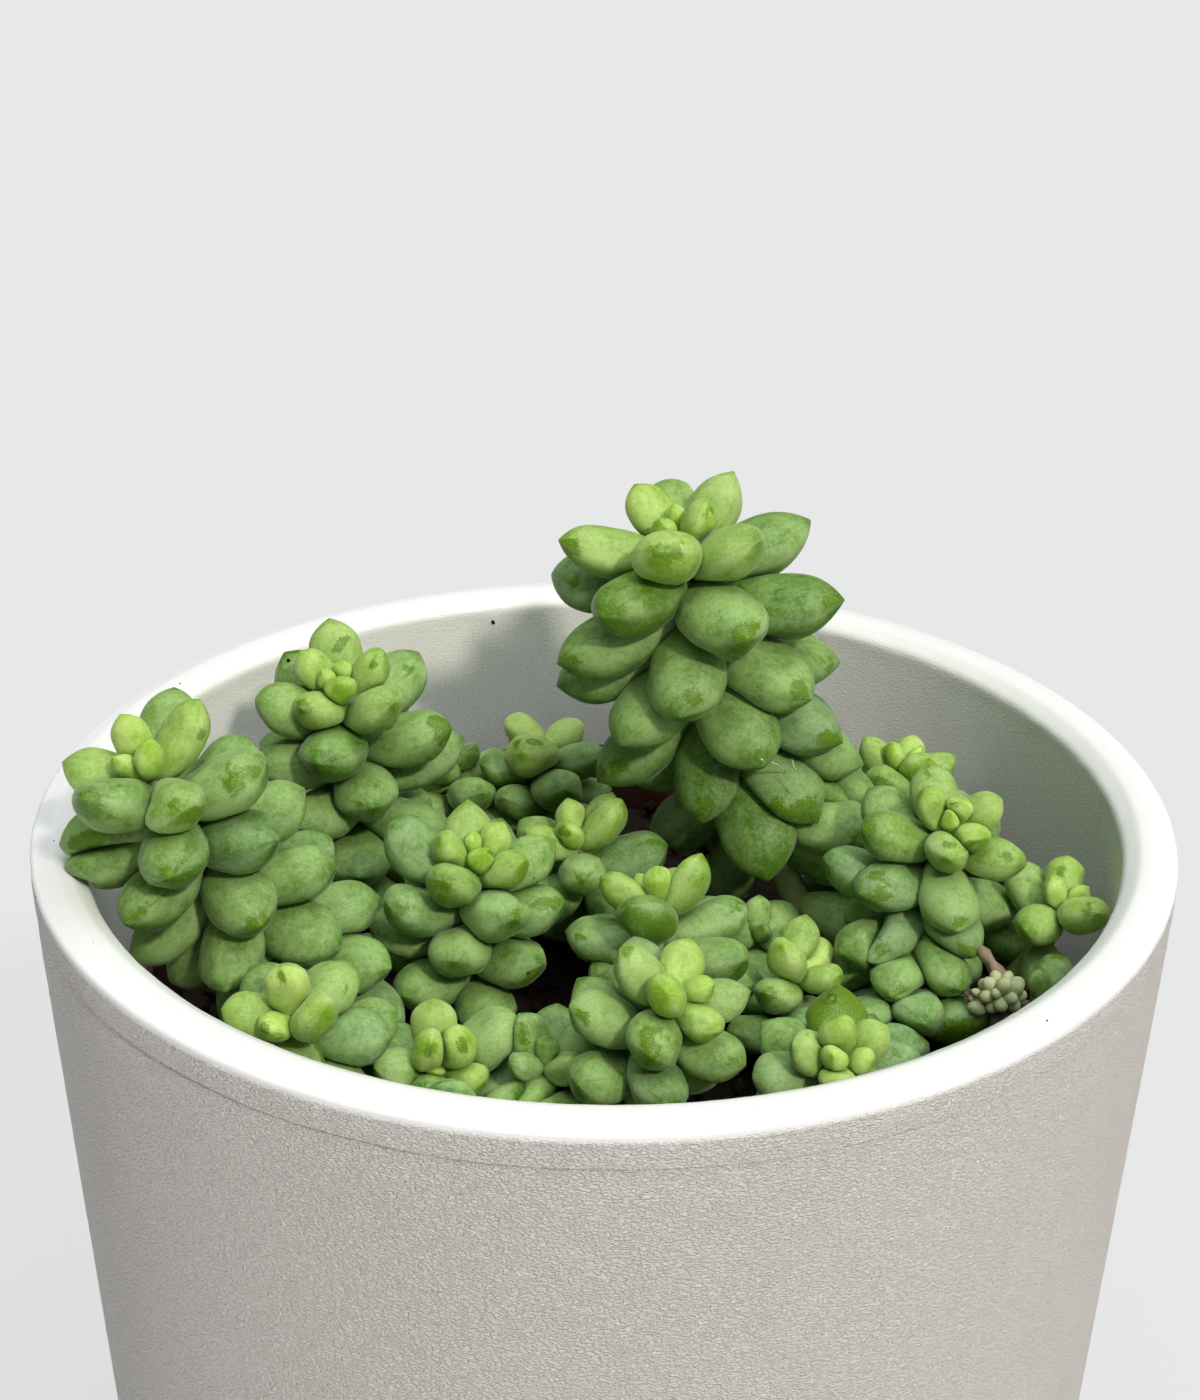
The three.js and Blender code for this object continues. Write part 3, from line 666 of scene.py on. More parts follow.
def rub_marks(skins):
    """Rubs the bloom off the nearest leaf under each mark."""
    points = np.concatenate([skin.points.reshape(-1, 3) for skin in skins])
    owner = np.repeat(np.arange(len(skins)), LEAF_RINGS * LEAF_SIDES)
    x, y, far = pixels_of(points)
    for mark_x, mark_y, radius in RUB_MARKS:
        near = np.flatnonzero(np.hypot(x - mark_x, y - mark_y) < RUB_REACH)
        if not len(near):
            continue
        chance = np.random.default_rng([mark_x, mark_y])
        hit = near[np.argmin(far[near])]
        skin = skins[owner[hit]]
        way = skin.leaf.axis * chance.normal() + skin.leaf.side * chance.normal()
        way /= np.linalg.norm(way)
        offset = skin.points - points[hit]
        along = offset @ way
        beside = np.sqrt(np.maximum(0, (offset**2).sum(2) - along**2))
        spread = (along / (1.25 * radius)) ** 2 + (beside / (0.6 * radius)) ** 2
        skin.rub = np.maximum(skin.rub, chance.uniform(0.55, 0.95) * np.exp(-spread))


# Meshes


def new_object(name, points, faces, materials, smooth=True):
    mesh = bpy.data.meshes.new(name)
    mesh.from_pydata([tuple(p) for p in np.asarray(points) * MM], [], faces)
    mesh.polygons.foreach_set("use_smooth", [smooth] * len(mesh.polygons))
    for material in materials:
        mesh.materials.append(material)
    mesh.update()
    made = bpy.data.objects.new(name, mesh)
    bpy.context.scene.collection.objects.link(made)
    return made


def add_values(made, **values):
    for name, numbers in values.items():
        attribute = made.data.attributes.new(name, "FLOAT", "POINT")
        attribute.data.foreach_set("value", np.asarray(numbers, np.float32))


def place(piece, slot, *nodes):
    """Rides the object's one body, and stands for these solids."""
    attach(piece, "root")
    if nodes:
        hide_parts(*nodes)
    return piece


def stalk_rings(name, chance):
    curve = CURVES[name]
    shares = np.linspace(0, 1, STALK_STEPS)
    centres = np.concatenate([[curve.at(0) - [0, 0, FOOT_DEPTH]], curve.at(shares)])
    taper = np.concatenate([[0], shares])
    radii = STEM_RADIUS + (STEM_TIP_RADIUS - STEM_RADIUS) * taper**2
    rings = []
    for i, (centre, radius) in enumerate(zip(centres, radii)):
        angle = np.arange(STALK_SIDES) / STALK_SIDES * 2 * np.pi
        knobs = 1 + 0.06 * np.cos(3 * angle + 2.4 * i) + chance.normal(0, 0.02, STALK_SIDES)
        ring = np.stack([np.cos(angle), np.sin(angle), 0 * angle], 1) * (radius * knobs)[:, None]
        rings.append(centre + ring)
    top = centres[-1] + [0, 0, STEM_TIP_RADIUS]
    return np.array(rings), centres[0], top


def with_ends(grid, last):
    """A grid's numbers in the order of a closed body's points, with 0 at its start."""
    return np.concatenate([[0], grid.ravel(), [last]])


def leafy_stem(name, skins, materials):
    """One stem's fine leaves and its stalk, in one piece."""
    own = [skin for skin in skins if skin.leaf.stem == name]
    points, faces, kinds = [], [], []
    values = {key: [] for key in ("age_and_shade", "along", "side", "rub", "chance", "face", "pressed", "powder")}
    total = 0
    for skin in own:
        body, body_faces = closed_rings(skin.points, skin.start, skin.tip)
        points.append(body)
        faces += [tuple(total + i for i in face) for face in body_faces]
        kinds += [0] * len(body_faces)
        total += len(body)
        for key, number in (("age_and_shade", skin.leaf.age_and_shade), ("powder", skin.leaf.powder), ("chance", skin.chance)):
            values[key].append(np.full(len(body), number))
        for key, grid in (("side", skin.side), ("face", skin.face), ("pressed", skin.pressed)):
            values[key].append(with_ends(grid, 0))
        values["along"].append(with_ends(skin.u, 1))
        values["rub"].append(with_ends(skin.rub, skin.rub[-1].mean()))
    stalk, stalk_faces = closed_rings(*stalk_rings(name, np.random.default_rng(len(name))))
    points.append(stalk)
    faces += [tuple(total + i for i in face) for face in stalk_faces]
    kinds += [1] * len(stalk_faces)
    for numbers in values.values():
        numbers.append(np.zeros(len(stalk)))
    made = new_object(name + "_leaves", np.concatenate(points), faces, materials)
    made.data.polygons.foreach_set("material_index", kinds)
    add_values(made, **{key: np.concatenate(numbers) for key, numbers in values.items()})
    return place(made, "waxy_leaf", name)


# Turned pieces


def turned(profile, sides, relief=None):
    """Points and faces of a profile turned round the axis. It starts and ends on the axis."""
    profile = np.asarray(profile, float)
    angle = np.arange(sides) / sides * 2 * np.pi
    ring = np.stack([np.cos(angle), np.sin(angle), 0 * angle], 1)
    rings = profile[1:-1, 0][:, None, None] * ring + profile[1:-1, 1][:, None, None] * [0, 0, 1]
    if relief is not None:
        rings = relief(rings, ring)
    return closed_rings(rings, [0, 0, profile[0, 1]], [0, 0, profile[-1, 1]])


def arc(centre_r, centre_z, radius_r, radius_z, start, end, steps):
    angle = np.radians(np.linspace(start, end, steps))
    return np.stack([centre_r + radius_r * np.cos(angle), centre_z + radius_z * np.sin(angle)], 1)


def noise_at(x, y, z):
    return noise.noise(Vector((x, y, z)))


def line(start, end, steps):
    return np.linspace(start, end, steps)


def lip_edge(radius, z):
    """The lip's outer slope, which turns down in a small round corner."""
    corner = arc(radius - LIP_EDGE_ROUND, z, LIP_EDGE_ROUND, LIP_EDGE_ROUND, 0, 90 - math.degrees(LIP_SLOPE), 8)
    inward = np.array([-math.cos(LIP_SLOPE), math.sin(LIP_SLOPE)])
    slope = corner[-1] + np.outer(np.linspace(0.15, 1, 5) * LIP_SLOPE_LENGTH, inward)
    return np.concatenate([corner, slope, slope[-1] + LIP_BEND])


def planter_piece(material):
    """The glazed planter: foot, tapered wall, crease, band, sloping lip, inside and floor."""
    crease_z = PLANTER_HEIGHT - CREASE_DROP
    band = PLANTER_RADIUS - BAND_STEP
    top_z = PLANTER_HEIGHT - LIP_INNER_DEPTH

    def outer_at(z):
        return band - WALL_SLOPE * max(0, crease_z - z)

    floor_radius = INNER_RADIUS - WALL_SLOPE * (top_z - PLANTER_FLOOR)
    foot = outer_at(FOOT_CHAMFER)
    profile = np.concatenate([
        line((0, 0), (foot - 2 * FOOT_CHAMFER, 0), 6),
        arc(foot - FOOT_CHAMFER, FOOT_CHAMFER, FOOT_CHAMFER, FOOT_CHAMFER, -90, 0, 7),
        line((outer_at(3.5), 3.5), (outer_at(crease_z - 1.5), crease_z - 1.5), 110),
        [(outer_at(crease_z - drop), crease_z - drop) for drop in CREASE_DROPS],
        line((band, crease_z + 0.8), (band, PLANTER_HEIGHT - LIP_EDGE_DROP - 0.3), 6),
        lip_edge(band, PLANTER_HEIGHT - LIP_EDGE_DROP),
        [(INNER_RADIUS + out, PLANTER_HEIGHT - down) for out, down in LIP_INNER_SIDE],
        line((INNER_RADIUS - 0.1, top_z - 1.5), (floor_radius + 0.2, PLANTER_FLOOR + FLOOR_ROUND), 50),
        arc(floor_radius - FLOOR_ROUND, PLANTER_FLOOR + FLOOR_ROUND, FLOOR_ROUND, FLOOR_ROUND, 0, -90, 5),
        line((floor_radius - 6, PLANTER_FLOOR), (0, PLANTER_FLOOR), 6),
    ])

    def relief(rings, ring):
        """Faint throwing rings and soft unevenness on the walls."""
        out = rings.copy()
        for i, row in enumerate(rings):
            z = row[0, 2]
            if not 1 < z < PLANTER_HEIGHT - 0.5:
                continue
            turning = THROWING_DEPTH * math.sin(z * 1.9) * math.exp(-max(0, crease_z - z) / THROWING_FADE)
            under = 0 if z > crease_z - 0.1 else max(0, 1 - (crease_z - z) / CREASE_FADE)
            near_crease = math.exp(-(((z - crease_z) / 2) ** 2))
            for j, point in enumerate(row):
                x, y = point[:2]
                soft = noise_at(x * 0.22, y * 0.22, z * 0.5)
                fine = noise_at(x * 0.9, y * 0.9, z * 1.7)
                outside = math.hypot(x, y) > band - WALL_THICKNESS / 2 - WALL_SLOPE * max(0, crease_z - z)
                uneven = 1 if outside else 2
                out[i, j] += ring[j] * (turning + uneven * (SOFT_UNEVEN * soft + FINE_UNEVEN * fine))
                if outside:
                    wander = noise_at(x * 0.05, y * 0.05, 7)
                    depth = CREASE_DEPTH * min(1, max(0.25, 0.75 - 0.4 * x / band + 0.8 * wander))
                    out[i, j] -= ring[j] * depth * under
                    out[i, j, 2] += CREASE_WANDER * wander * near_crease
        return out

    points, faces = turned(profile, PLANTER_SIDES, relief)
    made = new_object("planter_glazed", points, faces, [material])
    radius = np.hypot(points[:, 0], points[:, 1])
    under_lip = np.clip((PLANTER_HEIGHT - LIP_EDGE_DROP - points[:, 2]) / WRINKLE_FADE, 0, 1)
    outside = radius > INNER_RADIUS - WALL_SLOPE * (PLANTER_HEIGHT - points[:, 2]) + WALL_THICKNESS / 2
    wrinkled = under_lip * np.where(outside, 1, INSIDE_WRINKLES)
    across = np.clip((radius - INNER_RADIUS) / (PLANTER_RADIUS - INNER_RADIUS), 0, 1)
    add_values(made, wrinkled=wrinkled, outer=across)
    return place(made, "white_glaze", "planter")


def nursery_piece(material):
    """A thin moulded pot with a stepped rim band and drain holes."""
    collar = NURSERY_TOP - NURSERY_RIM_HEIGHT
    shoulder = NURSERY_RADIUS - NURSERY_RIM_STEP
    floor = NURSERY_FLOOR + NURSERY_WALL
    base, rim = NURSERY_BASE_RADIUS, NURSERY_RADIUS
    inner_base, inner_rim = base - NURSERY_WALL, rim - NURSERY_WALL
    profile = np.concatenate([
        [(0, NURSERY_FLOOR)],
        line((20, NURSERY_FLOOR), (base - 1.5, NURSERY_FLOOR), 4),
        arc(base - NURSERY_WALL, floor, NURSERY_WALL, NURSERY_WALL, -80, 0, 4),
        line((base + 0.3, NURSERY_FLOOR + 4), (shoulder, collar - 0.3), 12),
        line((rim - 0.3, collar), (rim, collar + 0.6), 3),
        line((rim, collar + 2), (rim, NURSERY_TOP - 1), 4),
        arc(rim - NURSERY_WALL / 2, NURSERY_TOP - 0.6, NURSERY_WALL / 2, 0.6, 0, 180, 9),
        line((inner_rim, NURSERY_TOP - 1.5), (shoulder - NURSERY_WALL, collar), 5),
        line((shoulder - NURSERY_WALL, collar - 2), (inner_base, floor + 1), 12),
        line((inner_base - 1, floor), (0, floor), 4),
    ])
    points, faces = turned(profile, NURSERY_SIDES)
    pot = new_object("nursery_pot_moulded", points, faces, [material])
    for i in range(DRAIN_HOLES):
        angle = 2 * math.pi * i / DRAIN_HOLES
        across, beside = DRAIN_CIRCLE * math.cos(angle) * MM, DRAIN_CIRCLE * math.sin(angle) * MM
        bpy.ops.mesh.primitive_cylinder_add(vertices=32, radius=DRAIN_RADIUS * MM, depth=6 * MM,
                                            location=(across, beside, NURSERY_FLOOR * MM))
        drill = bpy.context.object
        cut = pot.modifiers.new("drain", "BOOLEAN")
        cut.object = drill
        cut.operation = "DIFFERENCE"
        bpy.context.view_layer.update()
        evaluated = pot.evaluated_get(bpy.context.evaluated_depsgraph_get())
        drilled = bpy.data.meshes.new_from_object(evaluated)
        pot.modifiers.remove(cut)
        pot.data = drilled
        bpy.data.objects.remove(drill)
    return place(pot, "nursery_plastic", "nursery_pot")


def soil_piece(material):
    """Potting mix: a crumbly top inside the nursery pot."""
    low, high = box_mm("soil")
    low_radius = NURSERY_BASE_RADIUS - NURSERY_WALL - GAP
    high_radius = NURSERY_RADIUS - NURSERY_RIM_STEP - NURSERY_WALL - 2 * GAP
    profile = np.concatenate([
        [(0, low[2])],
        line((low_radius - 2, low[2]), (low_radius, low[2] + 2), 3),
        line((low_radius + 0.5, low[2] + 6), (high_radius - 0.4, SOIL_TOP - 3), 12),
        line((high_radius - 0.5, SOIL_TOP - 1.8), (1, SOIL_TOP - 0.8), 70),
        [(0, SOIL_TOP - 0.6)],
    ])

    def relief(rings, ring):
        out = rings.copy()
        for i, row in enumerate(rings):
            if row[0, 2] < SOIL_TOP - 2.5:
                continue
            for j, (x, y, _) in enumerate(row):
                coarse, crumb = noise_at(x * 0.16, y * 0.16, 3), noise_at(x * 0.6, y * 0.6, 9)
                fine = noise_at(x * 1.7, y * 1.7, 5)
                out[i, j, 2] += min(1.4, 0.7 * coarse + 0.8 * crumb + 0.35 * fine)
        return out

    points, faces = turned(profile, SOIL_SIDES, relief)
    return place(new_object("soil_mix", points, faces, [material]), "potting_soil", "soil")


SKEW = [0.31, 0.17, 0.93]


def circle(sides, a, b):
    """Points of a unit circle that two directions span."""
    angle = np.arange(sides) / sides * 2 * np.pi
    return np.outer(np.cos(angle), a) + np.outer(np.sin(angle), b)


class Parts:
    """Small closed bodies that are gathered into one piece, each with its own tone."""

    def __init__(self):
        self.points, self.faces, self.tones, self.total = [], [], [], 0

    def add(self, rings, start, end, tone):
        body, body_faces = closed_rings(np.asarray(rings), start, end)
        self.points.append(body)
        self.faces += [tuple(self.total + i for i in face) for face in body_faces]
        self.tones.append(np.full(len(body), tone))
        self.total += len(body)

    def crumb(self, chance, middle, size, tone):
        """A small broken lump."""
        angle = np.arange(6) / 6 * 2 * np.pi
        spread = chance.uniform(0.6, 1.3, 3) * size
        rings = []
        for level in (-0.55, 0.1, 0.6):
            width = math.sqrt(1 - level**2)
            ring = np.stack([np.cos(angle) * width, np.sin(angle) * width, 0 * angle + level], 1)
            rings.append(ring * chance.uniform(0.8, 1.15, (6, 1)))
        tilt = np.array(Matrix.Rotation(chance.uniform(0, 3), 3, Vector(chance.normal(size=3))))
        ends = np.array([[0, 0, -0.9], [0, 0, 0.9]]) * spread @ tilt + middle
        self.add(np.array(rings) * spread @ tilt + middle, *ends, tone)

    def bud(self, middle, way, long, wide, tone):
        """A smooth plump body along a way."""
        way = way / np.linalg.norm(way)
        side = np.cross(way, SKEW)
        side /= np.linalg.norm(side)
        above = np.cross(way, side)
        round_it = circle(16, side, above)
        rings = []
        for turn in np.radians(np.linspace(-80, 80, 11)):
            rings.append(middle + long * math.sin(turn) * way + wide * math.cos(turn) * round_it)
        self.add(rings, middle - long * way, middle + long * way, tone)

    def tube(self, line, radii, tone, chance=None):
        """A round body along a line of points."""
        line = np.asarray(line, float)
        heading = np.gradient(line, axis=0)
        heading /= np.linalg.norm(heading, axis=1)[:, None]
        side = np.cross(heading, SKEW)
        side /= np.linalg.norm(side, axis=1)[:, None]
        above = np.cross(heading, side)
        rings = []
        for middle, a, b, radius in zip(line, side, above, radii):
            uneven = 1 if chance is None else chance.uniform(0.7, 1.25, (10, 1))
            rings.append(middle + radius * uneven * circle(10, a, b))
        self.add(rings, line[0] - heading[0] * radii[0] / 2, line[-1] + heading[-1] * radii[-1] / 2, tone)

    def piece(self, name, material, slot, *nodes, smooth=True):
        made = new_object(name, np.concatenate(self.points), self.faces, [material], smooth)
        add_values(made, chance=np.concatenate(self.tones))
        return place(made, slot, *nodes)


def soil_crumbs(material):
    """Loose crumbs on the soil."""
    chance = np.random.default_rng(11)
    crumbs = Parts()
    for _ in range(CRUMBS):
        radius = CRUMB_FIELD * math.sqrt(chance.uniform(0, 1))
        turn = chance.uniform(0, 2 * np.pi)
        size = chance.uniform(0.5, 1.6)
        middle = np.array([radius * math.cos(turn), radius * math.sin(turn), SOIL_TOP - 0.5 + size * 0.35])
        crumbs.crumb(chance, middle, size, chance.uniform())
    return crumbs.piece("soil_crumbs", material, "potting_soil", smooth=False)


# Small things, placed where the photograph shows them

# The dried offset: its cluster of buds, its withered stalk, and scraps around it
CLUSTER = (1001, 993)
CLUSTER_BUDS = 23
CLUSTER_RADIUS = 2.35
LOOSE_BUDS = [((977, 1008), 1.5, 1.1), ((980, 994), 1.7, 0.7), ((1015, 1000), 1.1, 0.8)]
WITHERED_STALK = [(979, 947), (984, 954), (990, 962), (996, 971), (1001, 981)]
SCRAPS = [
    (967, 994), (971, 999), (1019, 1003), (1023, 1003), (986, 1008), (992, 1012), (1005, 1013), (998, 1014),
]

# Fine threads between leaves, and a brown one at the right
THREADS = [
    [(761, 759.5), (766, 760.5), (771, 762), (778, 764.8), (782, 768.4), (785, 773)],
    [(791.5, 757.5), (792.8, 762), (793.6, 766), (796, 770)],
]
BROWN_THREAD = [(1022, 957), (1023.5, 966), (1025.5, 976), (1026, 985), (1027, 993), (1031, 1000)]

# Dark specks on the planter and on leaves: pixel, radius in millimetres
SPECKS = [
    (493, 622, 0.34), (54, 841, 0.12), (1047, 1021, 0.17), (180, 684, 0.15), (289, 661, 0.32), (528, 973, 0.22),
    (534, 878, 0.16), (537, 882, 0.14), (36, 897, 0.09), (93, 943, 0.1), (1060, 835, 0.1),
]
DROP = (831.6, 1000)
DROP_RADIUS = 0.85


def nearest_on_ray(x, y, point):
    way = ray_through(x, y)
    return CAMERA_PLACE + ((point - CAMERA_PLACE) @ way) * way


def tree_of(objects):
    """A search tree over the faces of some pieces, in metres."""
    points, faces = [], []
    for made in objects:
        first = len(points)
        points += [vertex.co for vertex in made.data.vertices]
        faces += [[first + i for i in polygon.vertices] for polygon in made.data.polygons]
    return BVHTree.FromPolygons(points, faces)


def seen_at(tree, x, y):
    """The point in millimetres that shows at a pixel, and the way its surface faces."""
    place_hit, normal, _, _ = tree.ray_cast(Vector(CAMERA_PLACE * MM), Vector(ray_through(x, y)))
    return np.array(place_hit) / MM, np.array(normal)


def dried_offset(material):
    """A withered stalk that carries a cluster of pale buds."""
    chance = np.random.default_rng(5)
    parts = Parts()
    parts.add(*stalk_rings("dried_offset", chance), 0.9)
    stalk_tip = CURVES["dried_offset"].at(1)
    middle = nearest_on_ray(*CLUSTER, stalk_tip)
    for i in range(CLUSTER_BUDS):
        height = 1 - 1.7 * (i + 0.5) / CLUSTER_BUDS
        turn = GOLDEN_TURN * i
        ring = math.sqrt(max(0, 1 - height**2))
        way = np.array([ring * math.cos(turn), ring * math.sin(turn), height])
        wide = chance.uniform(0.88, 1.32)
        parts.bud(middle + way * CLUSTER_RADIUS, way, wide * 1.25, wide, chance.uniform(0, 0.35))
    for pixel, long, wide in LOOSE_BUDS:
        where = nearest_on_ray(*pixel, stalk_tip)
        parts.bud(where, chance.normal(size=3), long, wide, chance.uniform(0.1, 0.4))
    withered = [nearest_on_ray(*pixel, stalk_tip + [0, 1.5, 0]) for pixel in WITHERED_STALK]
    parts.tube(withered, [0.5, 0.9, 0.8, 1.1, 1.2], 0.75, chance)
    neck = [middle - [0, 0, 2.2], stalk_tip - [0, 0, 1.5], stalk_tip - [0, 0, 4]]
    parts.tube(neck, [1.6, 1.5, 1.2], 0.95, chance)
    for pixel in SCRAPS:
        where = nearest_on_ray(*pixel, stalk_tip - [0, 0, 0.5])
        parts.crumb(chance, where, chance.uniform(0.5, 1.0), chance.uniform(0.7, 1))
    return parts.piece("dried_offset_buds", material, "dried_leaf", "dried_offset")


def thread_line(tree, pixels):
    """A line just in front of what is seen behind its two ends."""
    first, last = (seen_at(tree, *pixels[i])[0] for i in (0, -1))
    shares = np.linspace(0, 1, len(pixels))
    line = [nearest_on_ray(*pixel, first + (last - first) * share) for pixel, share in zip(pixels, shares)]
    return [point - 0.3 * ray_through(*pixel) for point, pixel in zip(line, pixels)]


def small_things(tree, material, water):
    """Threads, specks and one drop of water."""
    chance = np.random.default_rng(8)
    threads, specks, drop = Parts(), Parts(), Parts()
    for pixels in THREADS:
        threads.tube(thread_line(tree, pixels), np.linspace(0.15, 0.09, len(pixels)), -1)
    threads.tube(thread_line(tree, BROWN_THREAD), [0.1] * len(BROWN_THREAD), 0.95)
    threads.piece("dry_threads", material, "dried_leaf")
    for x, y, radius in SPECKS:
        where, normal = seen_at(tree, x, y)
        specks.crumb(chance, where + normal * radius * 0.3, radius, chance.uniform(0.2, 0.6))
    where, normal = seen_at(tree, *DROP)
    drop.bud(where + normal * DROP_RADIUS * 0.35, normal, DROP_RADIUS * 0.6, DROP_RADIUS, 0)
    drop.piece("water_drop", water, "waxy_leaf")
    return specks


# Materials


class Nodes:
    """Short ways to add shader nodes to a material or a world."""

    def __init__(self, owner):
        self.owner = owner
        owner.use_nodes = True
        self.tree = owner.node_tree

    def add(self, kind, **settings):
        node = self.tree.nodes.new(kind)
        for key, value in settings.items():
            setattr(node, key, value)
        return node

    def feed(self, socket, value):
        if isinstance(value, bpy.types.NodeSocket):
            self.tree.links.new(value, socket)
        else:
            socket.default_value = value

    def fill(self, node, **inputs):
        for key, value in inputs.items():
            self.feed(node.inputs[key.replace("_", " ")], value)

    def value(self, name):
        return self.add("ShaderNodeAttribute", attribute_name=name).outputs["Fac"]

    def place(self, scale=(1, 1, 1)):
        where = self.add("ShaderNodeTexCoord").outputs["Object"]
        mapping = self.add("ShaderNodeMapping")
        self.fill(mapping, Vector=where, Scale=scale)
        return mapping.outputs["Vector"]

    def grain(self, scale, detail=3, rough=0.5, where=None, distortion=0):
        node = self.add("ShaderNodeTexNoise")
        self.fill(node, Scale=scale, Detail=detail, Roughness=rough, Distortion=distortion)
        self.fill(node, Vector=where or self.place())
        return node.outputs["Fac"]

    def range(self, value, low, high, new_low=0, new_high=1):
        node = self.add("ShaderNodeMapRange", interpolation_type="SMOOTHSTEP")
        self.fill(node, Value=value, From_Min=low, From_Max=high, To_Min=new_low, To_Max=new_high)
        return node.outputs["Result"]

    def sum(self, a, b, operation="ADD", clamp=False):
        node = self.add("ShaderNodeMath", operation=operation, use_clamp=clamp)
        self.feed(node.inputs[0], a)
        if b is not None:
            self.feed(node.inputs[1], b)
        return node.outputs[0]

    def times(self, a, b):
        return self.sum(a, b, "MULTIPLY")

    def less(self, a, b, clamp=False):
        return self.sum(a, b, "SUBTRACT", clamp)

    def joined(self, x, y, z):
        node = self.add("ShaderNodeCombineXYZ")
        for socket, value in zip(node.inputs, (x, y, z)):
            self.feed(socket, value)
        return node.outputs[0]

    def mix(self, share, a, b, blend="MIX"):
        node = self.add("ShaderNodeMix", data_type="RGBA", blend_type=blend)
        self.feed(node.inputs["Factor"], share)
        colors = [socket for socket in node.inputs if socket.type == "RGBA"]
        self.feed(colors[0], a)
        self.feed(colors[1], b)
        return [socket for socket in node.outputs if socket.type == "RGBA"][0]

    def tones(self, share, first, last):
        """A blend of two colours given as screen values."""
        return self.mix(share, linear(*first), linear(*last))

    def bump(self, height, strength, distance, under=None):
        node = self.add("ShaderNodeBump")
        self.fill(node, Strength=strength, Distance=distance, Height=height)
        if under is not None:
            self.fill(node, Normal=under)
        return node.outputs["Normal"]

    def set(self, **inputs):
        self.fill(self.tree.nodes["Principled BSDF"], **inputs)
        return self.owner


def look(name):
    return Nodes(bpy.data.materials.new(name))


def linear(red, green, blue):
    """A colour given as screen values from 0 to 255."""
    parts = [value / 255 for value in (red, green, blue)]
    parts = [p / 12.92 if p <= 0.04045 else ((p + 0.055) / 1.055) ** 2.4 for p in parts]
    return (*parts, 1)


YOUNG_BLOOM = linear(188, 211, 115)
YOUNG_FLESH = linear(136, 176, 38)
OLD_BLOOM = linear(145, 177, 101)
OLD_FLESH = linear(70, 110, 14)
DULL_BLOOM = linear(136, 167, 112)
OLIVE_FLESH = linear(94, 126, 8)
# Pale colour of the leaf margins: some bloom and a painted rim highlight
RIM_BLOOM_AND_HIGHLIGHT = linear(214, 228, 204)
FULL_BLOOM = 1.02


def leaf_material():
    n = look("powdery_leaf")
    age_and_shade, rub, along, chance = (n.value(name) for name in ("age_and_shade", "rub", "along", "chance"))
    side, face, pressed, powder = (n.value(name) for name in ("side", "face", "pressed", "powder"))
    edge = n.sum(side, None, "ABSOLUTE")
    skin_place = n.joined(n.times(along, 2.2), n.times(side, 1.7),
                          n.sum(n.times(face, 1.7), n.times(chance, 60)))
    streaks = n.grain(1.6, 6, 0.72, skin_place, 0.6)
    broad = n.grain(170, 3, 0.55)
    ragged = n.grain(430, 4, 0.65, distortion=0.6)
    mottle = n.grain(1300, 3, 0.6)
    fine = n.grain(4200, 2, 0.6)

    old_bloom = n.mix(n.range(chance, 0.5, 1.0), OLD_BLOOM, DULL_BLOOM)
    # Colour by age; on the low stems the raised age is painted shade
    bloom_color = n.mix(age_and_shade, YOUNG_BLOOM, old_bloom)
    flesh_color = n.mix(age_and_shade, YOUNG_FLESH, OLD_FLESH)
    worn = n.sum(rub, n.times(n.less(ragged, 0.5), 1.3))
    worn = n.sum(worn, n.times(n.less(streaks, 0.5), 0.7))
    patch = n.range(worn, 0.34, 0.66)
    flesh_color = n.mix(n.times(patch, 0.85), flesh_color, OLIVE_FLESH)

    bloom = n.sum(powder, FULL_BLOOM)
    for grain, low, high, lost in ((broad, 0.38, 0.66, 0.36), (streaks, 0.44, 0.7, 0.24),
                                   (ragged, 0.42, 0.66, 0.24), (mottle, 0.4, 0.62, 0.2)):
        bloom = n.less(bloom, n.range(grain, low, high, 0, lost))
    bloom = n.less(bloom, n.times(patch, 0.8))
    bloom = n.less(bloom, n.range(along, 0.86, 1.0, 0, 0.45))
    # Paler margins: more bloom along them and a painted rim highlight
    bloom = n.sum(bloom, n.range(edge, 0.85, 1.0, 0, 0.1))
    # Less bloom on each leaf's lower side: painted shade
    bloom = n.less(bloom, n.range(face, -0.1, -0.9, 0, 0.3))
    bloom = n.less(bloom, n.range(pressed, 0.1, 0.6, 0, 0.3), clamp=True)

    color = n.mix(bloom, flesh_color, bloom_color)
    color = n.mix(n.range(edge, 0.95, 1.0, 0, 0.08), color, RIM_BLOOM_AND_HIGHLIGHT)
    color = n.mix(n.range(fine, 0.5, 0.75, 0, 0.22), color, linear(206, 224, 190))
    color = n.mix(n.range(fine, 0.5, 0.25, 0, 0.22), color, linear(70, 104, 34))
    rough = n.range(bloom, 0, 1, 0.4, 0.6)
    relief = n.bump(mottle, 0.2, 0.0003)
    relief = n.bump(fine, 0.15, 0.0001, relief)
    return n.set(Base_Color=color, Roughness=rough, Normal=relief, Subsurface_Weight=0.25,
                 Subsurface_Radius=(0.35, 1.0, 0.12), Subsurface_Scale=0.0025, Sheen_Weight=0.32,
                 Sheen_Roughness=0.22, Sheen_Tint=linear(210, 226, 210), Specular_IOR_Level=0.27)


def stalk_material():
    n = look("green_stalk")
    patches = n.grain(500, 3, 0.6)
    color = n.tones(patches, (96, 120, 58), (140, 150, 96))
    return n.set(Base_Color=color, Roughness=0.7, Normal=n.bump(patches, 0.4, 0.0004))


